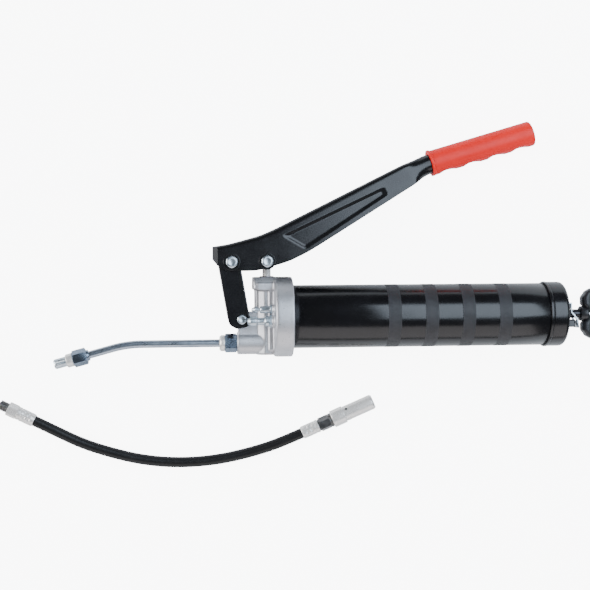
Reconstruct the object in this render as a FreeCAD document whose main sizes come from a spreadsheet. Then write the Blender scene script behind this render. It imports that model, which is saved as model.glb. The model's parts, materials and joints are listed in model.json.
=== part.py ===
import FreeCAD, Part
import math
import os
import re

import Sketcher
from FreeCAD import Placement, Rotation, Vector

# A lever-action grease gun for 400 g cartridges, lying on its side, with its flexible
# extension hose beside it. The gun's pieces are drawn in the gun's own frame, in mm:
#   x  along the barrel's axis, zero at the head ring's rear face, + towards the handle
#   y  up the pump plunger, towards the hand lever
#   z  across the plane in which the lever swings
# One placement then lays the whole gun down, so that +Z is up and the gun rests on its
# head ring, its rear cap and its grip. The hose is drawn where it lies on the ground.

SIZES = {
    # barrel, rear cap and follower
    "barrel_radius": 28.5,
    "barrel_wall": 1.2,
    "barrel_front": -10.5,
    "barrel_rear": 239.5,
    "band_first": 84.2,
    "band_pitch": 33.5,
    "band_width": 11.5,
    "band_height": 0.12,
    "cap_radius": 29.6,
    "cap_front": 231.5,
    "cap_rear": 249.5,
    "cap_round": 9.0,
    "cap_wall": 1.5,
    "rod_radius": 4.0,
    "rod_front": 12.0,
    "rod_rear": 279.0,
    "pin_x": 275.0,
    "follower_front": 20.0,
    "handle_front": 268.0,
    "handle_half": 23.6,
    "handle_half_depth": 8.0,
    # pump head
    "ring_radius": 36.1,
    "ring_front": -17.0,
    "ring_round": 3.0,
    "ring_edge": 0.6,
    "ring_bore": 28.65,
    "web_wall": 4.0,
    "boss_x": -22.6,
    "boss_radius": 11.0,
    "boss_bottom": -34.0,
    "deck_front": -35.5,
    "deck_bottom": 25.0,
    "deck_half": 12.5,
    "neck_half": 8.0,
    "outlet_y": -23.2,
    "outlet_radius": 10.3,
    "outlet_front": -49.9,
    "lug_half": 7.0,
    "lug_radius": 7.0,
    "gland_radius": 5.5,
    "gland_floor": 29.5,
    "seat_x": -33.0,
    "valve_bore": 4.0,
    "stub_radius": 4.8,
    "stub_end": -42.2,
    "ball_radius": 3.17,
    "port_radius": 2.2,
    "filler_y": -3.6,
    "filler_z": 19.5,
    "bleeder_y": 6.8,
    "bleeder_z": 18.0,
    # pivots, bolts, plunger, link and lever
    "base_x": -45.6,
    "base_y": -2.0,
    "top_x": -54.3,
    "top_y": 49.3,
    "plunger_y": 49.7,
    "plunger_radius": 3.75,
    "plunger_bottom": -16.0,
    "eye_radius": 7.0,
    "eye_half": 4.5,
    "running_fit": 0.03,
    "bolt_radius": 3.0,
    "bolt_flats": 10.0,
    "bolt_head": 4.0,
    "base_bolt_radius": 2.5,
    "base_bolt_flats": 8.0,
    "base_bolt_head": 3.5,
    "nut_height": 5.5,
    "lever_half": 12.0,
    "lever_wall": 1.8,
    "lever_round": 5.0,
    "press_depth": 2.2,
    "link_half": 9.5,
    "link_wall": 2.2,
    "link_left": -12.0,
    "link_right": 7.4,
    "link_slack": 1.6,
    "tail_radius": 9.0,
    "grip_x": 127.6,
    "grip_y": 138.1,
    "grip_angle": 16.5,
    "grip_radius": 11.65,
    "grip_length": 99.5,
    "grip_round": 5.0,
    "flange_radius": 12.6,
    # outlet pipe
    "pipe_radius": 3.5,
    "pipe_bore": 1.8,
    "pipe_bend_x": -148.0,
    "pipe_bend_radius": 100.0,
    "pipe_angle": 15.0,
    "coupler_x": -181.6,
    # grease coupler on the pipe, measured out from its back face
    "pipe_collar_end": 1.9,
    "pipe_flats": 13.4,
    "pipe_hexagon_end": 14.5,
    "pipe_sleeve_start": 14.6,
    "pipe_sleeve_end": 20.7,
    "pipe_sleeve_radius": 6.1,
    "pipe_nose_radius": 4.55,
    "pipe_coupler_end": 31.6,
    # grease coupler on the hose, likewise
    "hose_collar_end": 1.0,
    "hose_flats": 12.0,
    "hose_hexagon_end": 11.5,
    "hose_sleeve_start": 14.0,
    "hose_sleeve_end": 26.5,
    "hose_sleeve_radius": 8.1,
    "hose_nose_radius": 7.1,
    "hose_coupler_end": 56.0,
    # the mouth that a grease nipple goes into, the same on both couplers
    "mouth_radius": 3.3,
    "mouth_depth": 9.0,
    # extension hose and its crimped ends
    "hose_radius": 5.0,
    "hose_bore": 1.6,
    "ferrule_length": 17.0,
    "ferrule_radius": 6.1,
    "thread_radius": 4.85,
    # where the row's origin falls, measured from under the ring's rear face
    "origin_x": 36.34,
    "origin_y": 65.58,
}

doc = FreeCAD.newDocument("grease_gun")
sheet = doc.addObject("Spreadsheet::Sheet", "Size")
for row, (alias, value) in enumerate(SIZES.items(), 1):
    sheet.set(f"A{row}", alias)
    sheet.set(f"B{row}", str(value))
    sheet.setAlias(f"B{row}", alias)
doc.recompute()


def size(alias):
    """A driving dimension, read from the spreadsheet."""
    return float(sheet.get(alias))


# The gun touches the ground with its ring, with the cap's shoulder and with the grip's end,
# which sets how far its axis dips towards the cap and how far the lever's plane leans.
CONTACT_RUN = size("cap_rear") - size("cap_round") + size("ring_edge")
PITCH = math.atan2(size("ring_radius") - size("cap_radius"), CONTACT_RUN)
LIFT = size("ring_radius") * math.cos(PITCH) - size("ring_edge") * math.sin(PITCH)
GRIP_RUN = size("grip_length") - size("grip_round")
GRIP_END_X = size("grip_x") + GRIP_RUN * math.cos(math.radians(size("grip_angle")))
GRIP_END_Y = size("grip_y") + GRIP_RUN * math.sin(math.radians(size("grip_angle")))
GRIP_DROP = LIFT - size("grip_radius") - GRIP_END_X * math.sin(PITCH)
ROLL = math.asin(GRIP_DROP / (GRIP_END_Y * math.cos(PITCH)))
LAID = Placement(
    Vector(-size("origin_x"), -size("origin_y"), LIFT),
    Rotation(Vector(0, 1, 0), math.degrees(PITCH))
    * Rotation(Vector(1, 0, 0), -math.degrees(ROLL)),
)

# Directions of a turned piece's own +X axis.
ALONG_X = Rotation()
BACK_X = Rotation(Vector(0, 0, 1), 180)
ALONG_Y = Rotation(Vector(0, 0, 1), 90)
ALONG_Z = Rotation(Vector(0, 1, 0), -90)

nodes = {}


def bound(text):
    """Expression text with every driving dimension pointed at the spreadsheet."""
    return re.sub(r"[a-z]+(_[a-z]+)*", lambda word: point_at_sheet(word.group()), str(text))


def point_at_sheet(word):
    return f"Size.{word}" if word in SIZES else word


def circle(x, y, radius):
    """A round outline for a sketch."""
    return ("circle", x, y, radius)


def rectangle(left, bottom, right, top):
    return [(left, bottom), (right, bottom), (right, top), (left, top)]


def hexagon(flats):
    """A hexagon across the given flats, centred on the sketch's origin."""
    corners = [math.radians(60 * corner) for corner in range(6)]
    reach = 0.5 / math.cos(math.radians(30))
    return [
        (f"({flats}) * {reach * math.cos(a):.6f}", f"({flats}) * {reach * math.sin(a):.6f}")
        for a in corners
    ]


def fix_point(sketch, edge, spot, x, y):
    """Tie a sketch point to the origin by two driven distances."""
    for kind, distance in (("DistanceX", x), ("DistanceY", y)):
        index = sketch.addConstraint(Sketcher.Constraint(kind, -1, 1, edge, spot, 1.0))
        sketch.setExpression(f"Constraints[{index}]", bound(distance))


def draw_outline(sketch, outline):
    if outline[0] == "circle":
        _, x, y, radius = outline
        edge = sketch.addGeometry(Part.Circle(Vector(1, 1, 0), Vector(0, 0, 1), 1.0), False)
        fix_point(sketch, edge, 3, x, y)
        index = sketch.addConstraint(Sketcher.Constraint("Radius", edge, 1.0))
        sketch.setExpression(f"Constraints[{index}]", bound(radius))
        return
    count = len(outline)
    turns = [2 * math.pi * corner / count for corner in range(count + 1)]
    rough = [Vector(math.cos(turn), math.sin(turn), 0) for turn in turns]
    first = sketch.GeometryCount
    for corner in range(count):
        line = Part.LineSegment(rough[corner], rough[corner + 1])
        sketch.addGeometry(line, False)
    for corner in range(count):
        after = first + (corner + 1) % count
        sketch.addConstraint(Sketcher.Constraint("Coincident", first + corner, 2, after, 1))
    for corner, (x, y) in enumerate(outline):
        fix_point(sketch, first + corner, 1, x, y)


def add_sketch(body, plane, offset, outlines):
    """A sketch on one of the body's own origin planes, moved off it along its normal."""
    sketch = body.newObject("Sketcher::SketchObject", f"{body.Name}_sketch")
    origin_plane = next(f for f in body.Origin.OriginFeatures if f.Role == plane)
    sketch.AttachmentSupport = (origin_plane, [""])
    sketch.MapMode = "FlatFace"
    sketch.setExpression("AttachmentOffset.Base.z", bound(offset))
    for outline in outlines:
        draw_outline(sketch, outline)
    return sketch


def feature(body, kind, sketch):
    item = body.newObject(f"PartDesign::{kind}", f"{body.Name}_{kind.lower()}")
    item.Profile = sketch
    return item


def pad(body, plane, start, length, *outlines):
    """Grow the outlines by length along the plane's normal, from start."""
    item = feature(body, "Pad", add_sketch(body, plane, start, outlines))
    item.setExpression("Length", bound(length))
    doc.recompute()
    return item


def check_cut(body, before):
    doc.recompute()
    if body.Shape.Volume >= before - 1e-6:
        raise RuntimeError(f"a cut in {body.Label} removes nothing")


def pocket(body, plane, start, length, *outlines):
    """Cut the outlines by length against the plane's normal, from start."""
    before = body.Shape.Volume
    item = feature(body, "Pocket", add_sketch(body, plane, start, outlines))
    item.setExpression("Length", bound(length))
    check_cut(body, before)
    return item


def turned(body, outline):
    """Revolve a half section, drawn as (x, radius), about the body's own X axis."""
    sketch = add_sketch(body, "XY_Plane", "0", [outline])
    item = feature(body, "Revolution", sketch)
    item.ReferenceAxis = (sketch, ["H_Axis"])
    doc.recompute()
    return item


def turned_cut(body, outline):
    """Cut a half section, drawn as (x, radius), all the way round the body's X axis."""
    before = body.Shape.Volume
    sketch = add_sketch(body, "XY_Plane", "0", [outline])
    item = feature(body, "Groove", sketch)
    item.ReferenceAxis = (sketch, ["H_Axis"])
    check_cut(body, before)
    return item


def dress_edges(body, kind, dimension, amount, chosen):
    """Fillet or chamfer the edges of the body's present shape for which chosen(edge) holds."""
    tip = body.Tip
    names = [f"Edge{i}" for i, edge in enumerate(tip.Shape.Edges, 1) if chosen(edge)]
    if not names:
        raise RuntimeError(f"no edge to dress on {body.Label}")
    item = body.newObject(f"PartDesign::{kind}", f"{body.Name}_{kind.lower()}")
    item.Base = (tip, names)
    item.setExpression(dimension, bound(amount))
    doc.recompute()
    return item


def rounded(body, radius, chosen):
    return dress_edges(body, "Fillet", "Radius", radius, chosen)


def bevelled(body, width, chosen):
    return dress_edges(body, "Chamfer", "Size", width, chosen)


def middle(edge):
    return edge.valueAt((edge.FirstParameter + edge.LastParameter) / 2)


def trim_corners(body, flats, end, inwards):
    """Turn a 30 degree bevel on a hexagon's corners, at the face at end."""
    slope = math.tan(math.radians(30)) * inwards
    outline = [
        (end, f"({flats}) * 0.48"),
        (end, f"({flats}) * 0.62"),
        (f"{end} + ({flats}) * {0.14 * slope:.6f}", f"({flats}) * 0.62"),
    ]
    turned_cut(body, outline)


def new_body(label):
    body = doc.addObject("PartDesign::Body", label)
    body.AllowCompound = True
    return body


def keep(item, label, spot=(0, 0, 0), turn=ALONG_X, laid=True):
    """Name a finished piece, stand it at its spot and lay it down with the gun."""
    item.Label = label
    item.Placement = Placement(Vector(*spot), turn) * item.Placement
    if laid:
        item.Placement = LAID * item.Placement
    nodes[label] = item


def turned_piece(label, outline, spot=(0, 0, 0), turn=ALONG_X):
    body = new_body(label)
    turned(body, outline)
    keep(body, label, spot, turn)
    return body


def boolean(kind, label, base, tool):
    item = doc.addObject(f"Part::{kind}", label)
    item.Base = base
    item.Tool = tool
    doc.recompute()
    return item


def tube_path(points, radii):
    """Straight runs through the points, joined by tangent arcs of the given radii."""
    edges = []
    start = points[0]
    for corner, radius in enumerate(radii, 1):
        before = (points[corner - 1] - points[corner]).normalize()
        after = (points[corner + 1] - points[corner]).normalize()
        half_turn = (math.pi - before.getAngle(after)) / 2
        reach = radius * math.tan(half_turn)
        enter = points[corner] + before * reach
        leave = points[corner] + after * reach
        sagitta = radius * (1 / math.cos(half_turn) - 1)
        crown = points[corner] + (before + after).normalize() * sagitta
        edges.append(Part.LineSegment(start, enter).toShape())
        edges.append(Part.Arc(enter, crown, leave).toShape())
        start = leave
    edges.append(Part.LineSegment(start, points[-1]).toShape())
    return Part.Wire(edges)


def swept_rod(path, radius):
    """A round rod of the given radius along a path."""
    first = path.OrderedEdges[0]
    section = Part.Circle(first.valueAt(first.FirstParameter), first.tangentAt(0), radius)
    return path.makePipeShell([Part.Wire([section.toShape()])], True, True)


def coil_spring(label, start, end, radius, wire, turns):
    """A round-wire spring along x, with its wire's outside between start and end."""
    pitch = (end - start - 2 * wire) / turns
    helix = Part.makeHelix(pitch, pitch * turns, radius)
    section = Part.Circle(Vector(radius, 0, 0), Vector(0, 1, 0), wire)
    coil = Part.Wire(helix).makePipeShell([Part.Wire([section.toShape()])], True, True)
    coil.rotate(Vector(0, 0, 0), Vector(0, 1, 0), 90)
    coil.translate(Vector(start + wire, 0, 0))
    item = doc.addObject("Part::Feature", label)
    item.Shape = coil
    return item


# ---- barrel, rear cap and the pieces in them ----------------------------------------

def make_barrel():
    """The steel tube, with four bands of knurling rolled just proud of it."""
    outer = [("barrel_front", "barrel_radius")]
    for band in range(4):
        start = f"band_first + {band} * band_pitch"
        raised = "barrel_radius + band_height"
        outer += [
            (start, "barrel_radius"),
            (start, raised),
            (f"{start} + band_width", raised),
            (f"{start} + band_width", "barrel_radius"),
        ]
    bore = "barrel_radius - barrel_wall"
    outer += [("barrel_rear", "barrel_radius"), ("barrel_rear", bore), ("barrel_front", bore)]
    turned_piece("barrel", outer)


def make_rear_cap():
    """The pressed cap, with a rolled rim, a round shoulder and the rod lock's lug."""
    inside = "barrel_radius + 0.02"
    body = new_body("rear_cap")
    turned(body, [
        ("cap_front", inside),
        ("cap_front", "cap_radius + 0.3"),
        ("cap_front + 1.5", "cap_radius + 0.3"),
        ("cap_front + 1.5", "cap_radius"),
        ("cap_rear", "cap_radius"),
        ("cap_rear", "rod_radius + 0.1"),
        ("cap_rear - cap_wall", "rod_radius + 0.1"),
        ("cap_rear - cap_wall", "cap_radius - cap_round"),
        ("barrel_rear + 1.5", "barrel_radius - 1"),
        ("barrel_rear + 0.1", inside),
    ])
    shoulder = size("cap_rear")
    reach = size("cap_radius")
    rounded(body, "cap_round", lambda edge: (
        abs(edge.BoundBox.XMin - shoulder) < 0.01
        and abs(edge.BoundBox.XMax - shoulder) < 0.01
        and abs(edge.BoundBox.YMax - reach) < 0.01
    ))
    lug = rectangle("-12.4", "-5", "-5.4", "5")
    pad(body, "YZ_Plane", "cap_rear - cap_wall", "cap_wall + 11.5", lug)
    keep(body, "rear_cap")


def make_follower():
    """Rod, rubber cup, steel plate and nut that push the grease, and their spring."""
    rod = new_body("follower_rod")
    turned(rod, rectangle("rod_front", "0", "rod_rear", "rod_radius"))
    pocket(rod, "XY_Plane", "rod_radius + 1", "2 * rod_radius + 2", circle("pin_x", "0", "1.5"))
    keep(rod, "follower_rod")
    wall = "barrel_radius - barrel_wall - 0.1"
    turned_piece("follower_cup", [
        ("follower_front", "rod_radius + 0.05"),
        ("follower_front", f"{wall} - 1.5"),
        ("follower_front + 1.5", wall),
        ("follower_front + 14", wall),
        ("follower_front + 14", f"{wall} - 1.5"),
        ("follower_front + 4", f"{wall} - 2.5"),
        ("follower_front + 4", "rod_radius + 0.05"),
    ])
    plate = rectangle("follower_front + 4", "rod_radius + 0.05", "follower_front + 6", "23")
    turned_piece("follower_plate", plate)
    nut = new_body("follower_nut")
    pad(nut, "YZ_Plane", "follower_front - 6.6", "6.5", hexagon("13"))
    trim_corners(nut, "13", "follower_front - 6.6", 1)
    pocket(nut, "YZ_Plane", "follower_front", "7", circle("0", "0", "rod_radius"))
    keep(nut, "follower_nut")
    spring_rear = size("cap_rear") - size("cap_wall")
    spring = coil_spring(
        "spring", size("follower_front") + 6, spring_rear, radius=19.5, wire=1.3, turns=11
    )
    keep(spring, "follower_spring")


def make_handle():
    """The rod's T-handle, waisted for two fingers, and the pin that holds it."""
    front = "handle_front"
    half = "handle_half"
    body = new_body("t_handle")
    pad(body, "XY_Plane", "-handle_half_depth", "2 * handle_half_depth", [
        (f"{front} + 3.5", "-6"),
        (front, "-10"),
        (front, "-14.5"),
        (f"{front} + 2.5", "-19.5"),
        (f"{front} + 5", f"-{half}"),
        (f"{front} + 16", f"-{half}"),
        (f"{front} + 17.5", "-12"),
        (f"{front} + 17.5", "12"),
        (f"{front} + 16", half),
        (f"{front} + 5", half),
        (f"{front} + 2.5", "19.5"),
        (front, "14.5"),
        (front, "10"),
        (f"{front} + 3.5", "6"),
    ])
    depth = size("handle_half_depth")
    bevelled(body, "1.8", lambda edge: (
        abs(abs(middle(edge).z) - depth) < 0.01 and edge.BoundBox.ZLength < 0.01
    ))
    hole = circle("0", "0", "rod_radius")
    pocket(body, "YZ_Plane", "rod_rear", "20", hole)
    pin_hole = circle("pin_x", "0", "1.5")
    pocket(body, "XY_Plane", "handle_half_depth", "2 * handle_half_depth", pin_hole)
    keep(body, "t_handle")
    pin = rectangle("-7.5", "0", "7.5", "1.5")
    turned_piece("handle_pin", pin, spot=(size("pin_x"), 0, 0), turn=ALONG_Z)


def make_rod_lock():
    """The zinc strip that grips the rod: a foot on the cap, a holed plate and a thumb tab."""
    body = new_body("rod_lock_plate")
    pad(body, "XY_Plane", "-6.5", "13", [
        ("cap_rear + 0.6", "10.2"),
        ("cap_rear + 0.6", "9"),
        ("cap_rear + 7.1", "9"),
        ("cap_rear + 7.1", "1"),
        ("cap_rear + 10", "-2.2"),
        ("cap_rear + 12.7", "-6"),
        ("cap_rear + 13.7", "-13"),
        ("cap_rear + 15", "-13"),
        ("cap_rear + 14.1", "-5.4"),
        ("cap_rear + 11.1", "-1"),
        ("cap_rear + 8.3", "1.6"),
        ("cap_rear + 8.3", "10.2"),
    ])
    slot = [("-6", "-4.4"), ("4.6", "-4.4"), ("4.6", "4.4"), ("-6", "4.4")]
    pocket(body, "YZ_Plane", "cap_rear + 16.5", "11", slot)
    keep(body, "rod_lock_plate")


# ---- pump head ----------------------------------------------------------------------

def make_head():
    """The cast head: ring, deck, pump boss, outlet boss, link lug and their drillings."""
    body = new_body("head_casting")
    turned(body, [
        ("ring_front", "0"),
        ("ring_front", "ring_radius - ring_round"),
        ("ring_front + ring_round", "ring_radius"),
        ("-ring_edge", "ring_radius"),
        ("0", "ring_radius - ring_edge"),
        ("0", "0"),
    ])
    deck_height = "ring_radius - deck_bottom"
    deck_centre = "deck_front + deck_half"
    deck = rectangle(deck_centre, "-deck_half", "-ring_edge", "deck_half")
    pad(body, "XZ_Plane", "-ring_radius", deck_height, deck)
    deck_nose = circle(deck_centre, "0", "deck_half")
    pad(body, "XZ_Plane", "-ring_radius", deck_height, deck_nose)
    boss_height = "ring_radius - boss_bottom"
    boss = circle("boss_x", "0", "boss_radius")
    pad(body, "XZ_Plane", "-ring_radius", boss_height, boss)
    neck = rectangle("boss_x", "-neck_half", "ring_front + 2", "neck_half")
    pad(body, "XZ_Plane", "-ring_radius + 2", f"{boss_height} - 4", neck)
    outlet = circle("outlet_y", "0", "outlet_radius")
    pad(body, "YZ_Plane", "outlet_front", "boss_x - outlet_front", outlet)
    lug = [
        ("base_x", "base_y + lug_radius"),
        ("boss_x", "base_y + lug_radius"),
        ("boss_x", "outlet_y + 4"),
        ("outlet_front + 1", "outlet_y + 4"),
        ("outlet_front + 1", "base_y - lug_radius - 2"),
        ("base_x - lug_radius", "base_y"),
    ]
    pad(body, "XY_Plane", "-lug_half", "2 * lug_half", lug)
    eye = circle("base_x", "base_y", "lug_radius")
    pad(body, "XY_Plane", "-lug_half", "2 * lug_half", eye)
    bore_the_head(body)
    keep(body, "head_casting")


def bore_the_head(body):
    """Chamber, pump barrel, gland seat, grease ways, valve bore and threaded ports."""
    turned_cut(body, [
        ("ring_front + web_wall", "0"),
        ("ring_front + web_wall", "ring_bore"),
        ("1", "ring_bore"),
        ("1", "0"),
    ])
    top = "-ring_radius"
    gland = circle("boss_x", "0", "gland_radius")
    down(body, gland, "ring_radius", "ring_radius - gland_floor")
    pump = circle("boss_x", "0", "plunger_radius + running_fit")
    down(body, pump, "ring_radius", "ring_radius - plunger_bottom + 1.5")
    way = circle("boss_x", "0", "port_radius")
    down(body, way, "ring_radius", "ring_radius - outlet_y")
    outlet = circle("outlet_y", "0", "port_radius")
    pocket(body, "YZ_Plane", "boss_x", "boss_x - seat_x + 1", outlet)
    valve = circle("outlet_y", "0", "valve_bore")
    pocket(body, "YZ_Plane", "seat_x", "seat_x - outlet_front", valve)
    thread = circle("outlet_y", "0", "stub_radius")
    pocket(body, "YZ_Plane", "stub_end", "stub_end - outlet_front", thread)
    inlet = circle("1.5", "0", "2.5")
    pocket(body, "YZ_Plane", "ring_front + web_wall", "ring_front + web_wall - boss_x", inlet)
    filler = circle("filler_y", "filler_z", "3.3")
    bleeder = circle("bleeder_y", "bleeder_z", "2.5")
    pocket(body, "YZ_Plane", "ring_front + web_wall", "web_wall", filler, bleeder)
    pivot = circle("base_x", "base_y", "base_bolt_radius + running_fit")
    pocket(body, "XY_Plane", "lug_half", "2 * lug_half", pivot)


def down(body, outline, top, depth):
    """Cut straight down the plunger's axis from the height top."""
    before = body.Shape.Volume
    sketch = add_sketch(body, "XZ_Plane", f"-({top})", [outline])
    item = feature(body, "Pocket", sketch)
    item.Reversed = True
    item.setExpression("Length", bound(depth))
    check_cut(body, before)


def make_head_seals():
    """The barrel's flat gasket, and the plunger's ring seal under its gland."""
    gasket = rectangle("ring_front + web_wall", "24.5", "barrel_front", "ring_bore - 0.05")
    turned_piece("head_gasket", gasket)
    centre = (size("boss_x"), 0, 0)
    seal = rectangle("gland_floor", "plunger_radius + 0.05", "gland_floor + 2.4", "gland_radius")
    turned_piece("plunger_seal", seal, spot=centre, turn=ALONG_Y)
    turned_piece("plunger_gland", [
        ("gland_floor + 2.4", "plunger_radius + 0.1"),
        ("gland_floor + 2.4", "gland_radius"),
        ("ring_radius", "gland_radius"),
        ("ring_radius", "gland_radius + 1"),
        ("ring_radius + 0.8", "gland_radius + 0.7"),
        ("ring_radius + 0.8", "plunger_radius + 0.1"),
    ], spot=centre, turn=ALONG_Y)


def make_outlet_valve():
    """The spring-loaded ball that keeps pumped grease from coming back."""
    seated = math.sqrt(size("ball_radius") ** 2 - size("port_radius") ** 2)
    ball_x = size("seat_x") - seated - 0.02
    ball = doc.addObject("Part::Sphere", "ball")
    ball.setExpression("Radius", bound("ball_radius"))
    doc.recompute()
    keep(ball, "outlet_check_ball", spot=(ball_x, size("outlet_y"), 0))
    reach = size("ball_radius") - 0.3
    spring = coil_spring(
        "valve_spring", size("stub_end"), ball_x - reach, radius=2.2, wire=0.35, turns=3
    )
    keep(spring, "outlet_check_spring", spot=(0, size("outlet_y"), 0))


def make_fittings():
    """The bulk filler nipple and the air bleeder, side by side on the head's front face."""
    filler = new_body("filler_nipple")
    turned(filler, [
        ("-3.5", "1.2"),
        ("-3.5", "3.3"),
        ("5", "3.3"),
        ("5", "4.6"),
        ("8", "4.6"),
        ("9.5", "3.1"),
        ("15", "3.1"),
        ("16.5", "4.3"),
        ("21.5", "4.3"),
        ("24", "2.6"),
        ("24", "1.2"),
    ])
    pad(filler, "YZ_Plane", "0", "5", hexagon("10"), circle("0", "0", "3"))
    trim_corners(filler, "10", "5", -1)
    spot = (size("ring_front"), size("filler_y"), size("filler_z"))
    keep(filler, "filler_nipple", spot, BACK_X)
    ball = doc.addObject("Part::Sphere", "filler_ball")
    ball.Radius = 1.15
    doc.recompute()
    keep(ball, "filler_ball", (spot[0] - 21, spot[1], spot[2]))

    bleeder = new_body("bleeder_body")
    turned(bleeder, [
        ("-3.5", "1.6"),
        ("-3.5", "2.5"),
        ("4", "2.5"),
        ("4", "3.2"),
        ("12", "3.2"),
        ("13", "2.4"),
        ("13", "1.6"),
    ])
    pad(bleeder, "YZ_Plane", "0", "4", hexagon("7"), circle("0", "0", "2.2"))
    trim_corners(bleeder, "7", "4", -1)
    spot = (size("ring_front"), size("bleeder_y"), size("bleeder_z"))
    keep(bleeder, "bleeder_body", spot, BACK_X)
    turned_piece("bleeder_stem", [
        ("-4.5", "0"),
        ("-4.5", "2.2"),
        ("-3.6", "2.2"),
        ("-3.6", "1.5"),
        ("15", "1.5"),
        ("15", "2.8"),
        ("17.5", "2.8"),
        ("20.5", "1"),
        ("20.5", "0"),
    ], spot, BACK_X)


# ---- plunger, link, lever and their bolts -------------------------------------------

def make_plunger():
    """The hardened rod that pumps, with the eye that the lever lifts it by."""
    body = new_body("plunger")
    rod = circle("boss_x", "0", "plunger_radius")
    pad(body, "XZ_Plane", "-plunger_y + 3", "plunger_y - 3 - plunger_bottom", rod)
    eye = circle("boss_x", "plunger_y", "eye_radius")
    pad(body, "XY_Plane", "-eye_half", "2 * eye_half", eye)
    pocket(body, "XY_Plane", "eye_half", "2 * eye_half", circle(
        "boss_x", "plunger_y", "bolt_radius + running_fit"
    ))
    keep(body, "plunger")


def link_length():
    run = Vector(size("top_x") - size("base_x"), size("top_y") - size("base_y"), 0)
    return run.Length


def link_turn():
    """The link leans this far from the plunger's direction at rest."""
    run = size("base_x") - size("top_x")
    rise = size("top_y") - size("base_y")
    return Rotation(Vector(0, 0, 1), math.degrees(math.atan2(run, rise)))


def make_link():
    """The channel-shaped link from the head's lug up into the lever."""
    top = link_length()
    body = new_body("link")
    pad(body, "XY_Plane", "-link_half", "2 * link_half", [
        ("link_left", "-1"),
        ("link_left + 6", "-7.6"),
        ("link_right - 4", "-7.6"),
        ("link_right", "-3.6"),
        ("link_right", f"{top + 4:.3f}"),
        ("link_right - 4", f"{top + 7.6:.3f}"),
        ("link_left + 7", f"{top + 7.6:.3f}"),
        ("link_left", f"{top:.3f}"),
    ])
    half = size("link_half")
    rounded(body, "3", lambda edge: (
        abs(edge.BoundBox.ZLength - 2 * half) < 0.01
        and (edge.BoundBox.YMin < 0 or edge.BoundBox.YMin > top - 0.5)
    ))
    rounded(body, "2", lambda edge: (
        abs(abs(middle(edge).z) - half) < 0.01 and middle(edge).x < size("link_left") + 0.1
    ))
    inside = "link_half - link_wall"
    gap = rectangle("link_left + link_wall", "-20", "link_right + 5", "70")
    pocket(body, "XY_Plane", inside, f"2 * ({inside})", gap)
    below = rectangle("link_left - 1", "-20", "link_right", "3")
    above = rectangle("link_left - 1", f"{top - 2:.3f}", "link_right", "70")
    pocket(body, "XY_Plane", inside, f"2 * ({inside})", below)
    pocket(body, "XY_Plane", inside, f"2 * ({inside})", above)
    foot = circle("0", "0", "base_bolt_radius + 0.02")
    pocket(body, "XY_Plane", "link_half", "2 * link_half", foot)
    head = circle("0", f"{top:.3f}", "bolt_radius + link_slack")
    pocket(body, "XY_Plane", "link_half", "2 * link_half", head)
    keep(body, "link", spot=(size("base_x"), size("base_y"), 0), turn=link_turn())


LEVER_OUTLINE = [
    ("-71.2", "63.4"),
    ("-71.2", "52.3"),
    ("-62.3", "41.7"),
    ("-31.2", "41.7"),
    ("-18.7", "45.1"),
    ("2.8", "51.2"),
    ("24.4", "63.8"),
    ("118.9", "122.8"),
    ("122.5", "126.5"),
    ("122.5", "147.2"),
    ("-12", "80.6"),
    ("-29.4", "73"),
    ("-57", "65.6"),
]
LEVER_PRESSING = [
    ("-7.7", "72.5"),
    ("11.5", "61.5"),
    ("82.1", "107.4"),
    ("79.3", "113.5"),
]


def moved(outline, distance):
    """The outline with every side moved outwards (or, if negative, inwards)."""
    corners = [Vector(float(x), float(y), 0) for x, y in outline]
    area = sum(a.cross(b).z for a, b in zip(corners, corners[1:] + corners[:1]))
    side = math.copysign(distance, area)
    result = []
    for before, here, after in zip(corners[-1:] + corners[:-1], corners, corners[1:] + corners[:1]):
        into = (here - before).normalize()
        out_of = (after - here).normalize()
        bisector = Vector(into.y + out_of.y, -into.x - out_of.x, 0)
        bisector = bisector * (side * 2 / bisector.dot(bisector))
        result.append((f"{here.x + bisector.x:.3f}", f"{here.y + bisector.y:.3f}"))
    return result


def grip_axis():
    return Rotation(Vector(0, 0, 1), size("grip_angle"))


def make_lever():
    """The pressed lever: a channel open below, its sides pressed in, ending in a tube."""
    outer = new_body("lever_outside")
    pad(outer, "XY_Plane", "-lever_half", "2 * lever_half", LEVER_OUTLINE)
    half = size("lever_half")
    rounded(outer, "lever_round", lambda edge: is_upper_edge(edge, half))
    for start in ("lever_half", "-lever_half + press_depth"):
        pocket(outer, "XY_Plane", start, "press_depth", LEVER_PRESSING)

    inner = new_body("lever_inside")
    inside = moved(LEVER_OUTLINE, -size("lever_wall"))
    open_below = [
        inside[0],
        (inside[0][0], "54.5"),
        ("-80", "54.5"),
        ("-80", "30"),
        ("-20", "30"),
        ("8", "40"),
        ("116", "110"),
        ("116", "142"),
        inside[10],
        inside[11],
        inside[12],
    ]
    inner_half = "lever_half - lever_wall"
    pad(inner, "XY_Plane", f"-({inner_half})", f"2 * ({inner_half})", open_below)
    pressed = moved(LEVER_PRESSING, size("lever_wall"))
    for start in (inner_half, f"-({inner_half}) + press_depth"):
        pocket(inner, "XY_Plane", start, "press_depth", pressed)

    tail = tail_rod("tail_outside", "tail_radius", -24, 86)
    tail_bore = tail_rod("tail_inside", "tail_radius - 1.6", -25, 87)
    channel = boolean("Cut", "lever_channel", outer, inner)
    whole = boolean("Fuse", "lever_and_tail", channel, tail)
    hollow = boolean("Cut", "hollow_lever", whole, tail_bore)
    holes = new_body("lever_holes")
    pad(holes, "XY_Plane", "-lever_half - 1", "2 * lever_half + 2", *(
        circle(x, y, "bolt_radius + 0.05")
        for x, y in (("top_x", "top_y"), ("boss_x", "plunger_y"))
    ))
    lever = boolean("Cut", "drilled_lever", hollow, holes)
    keep(lever, "lever")


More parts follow.
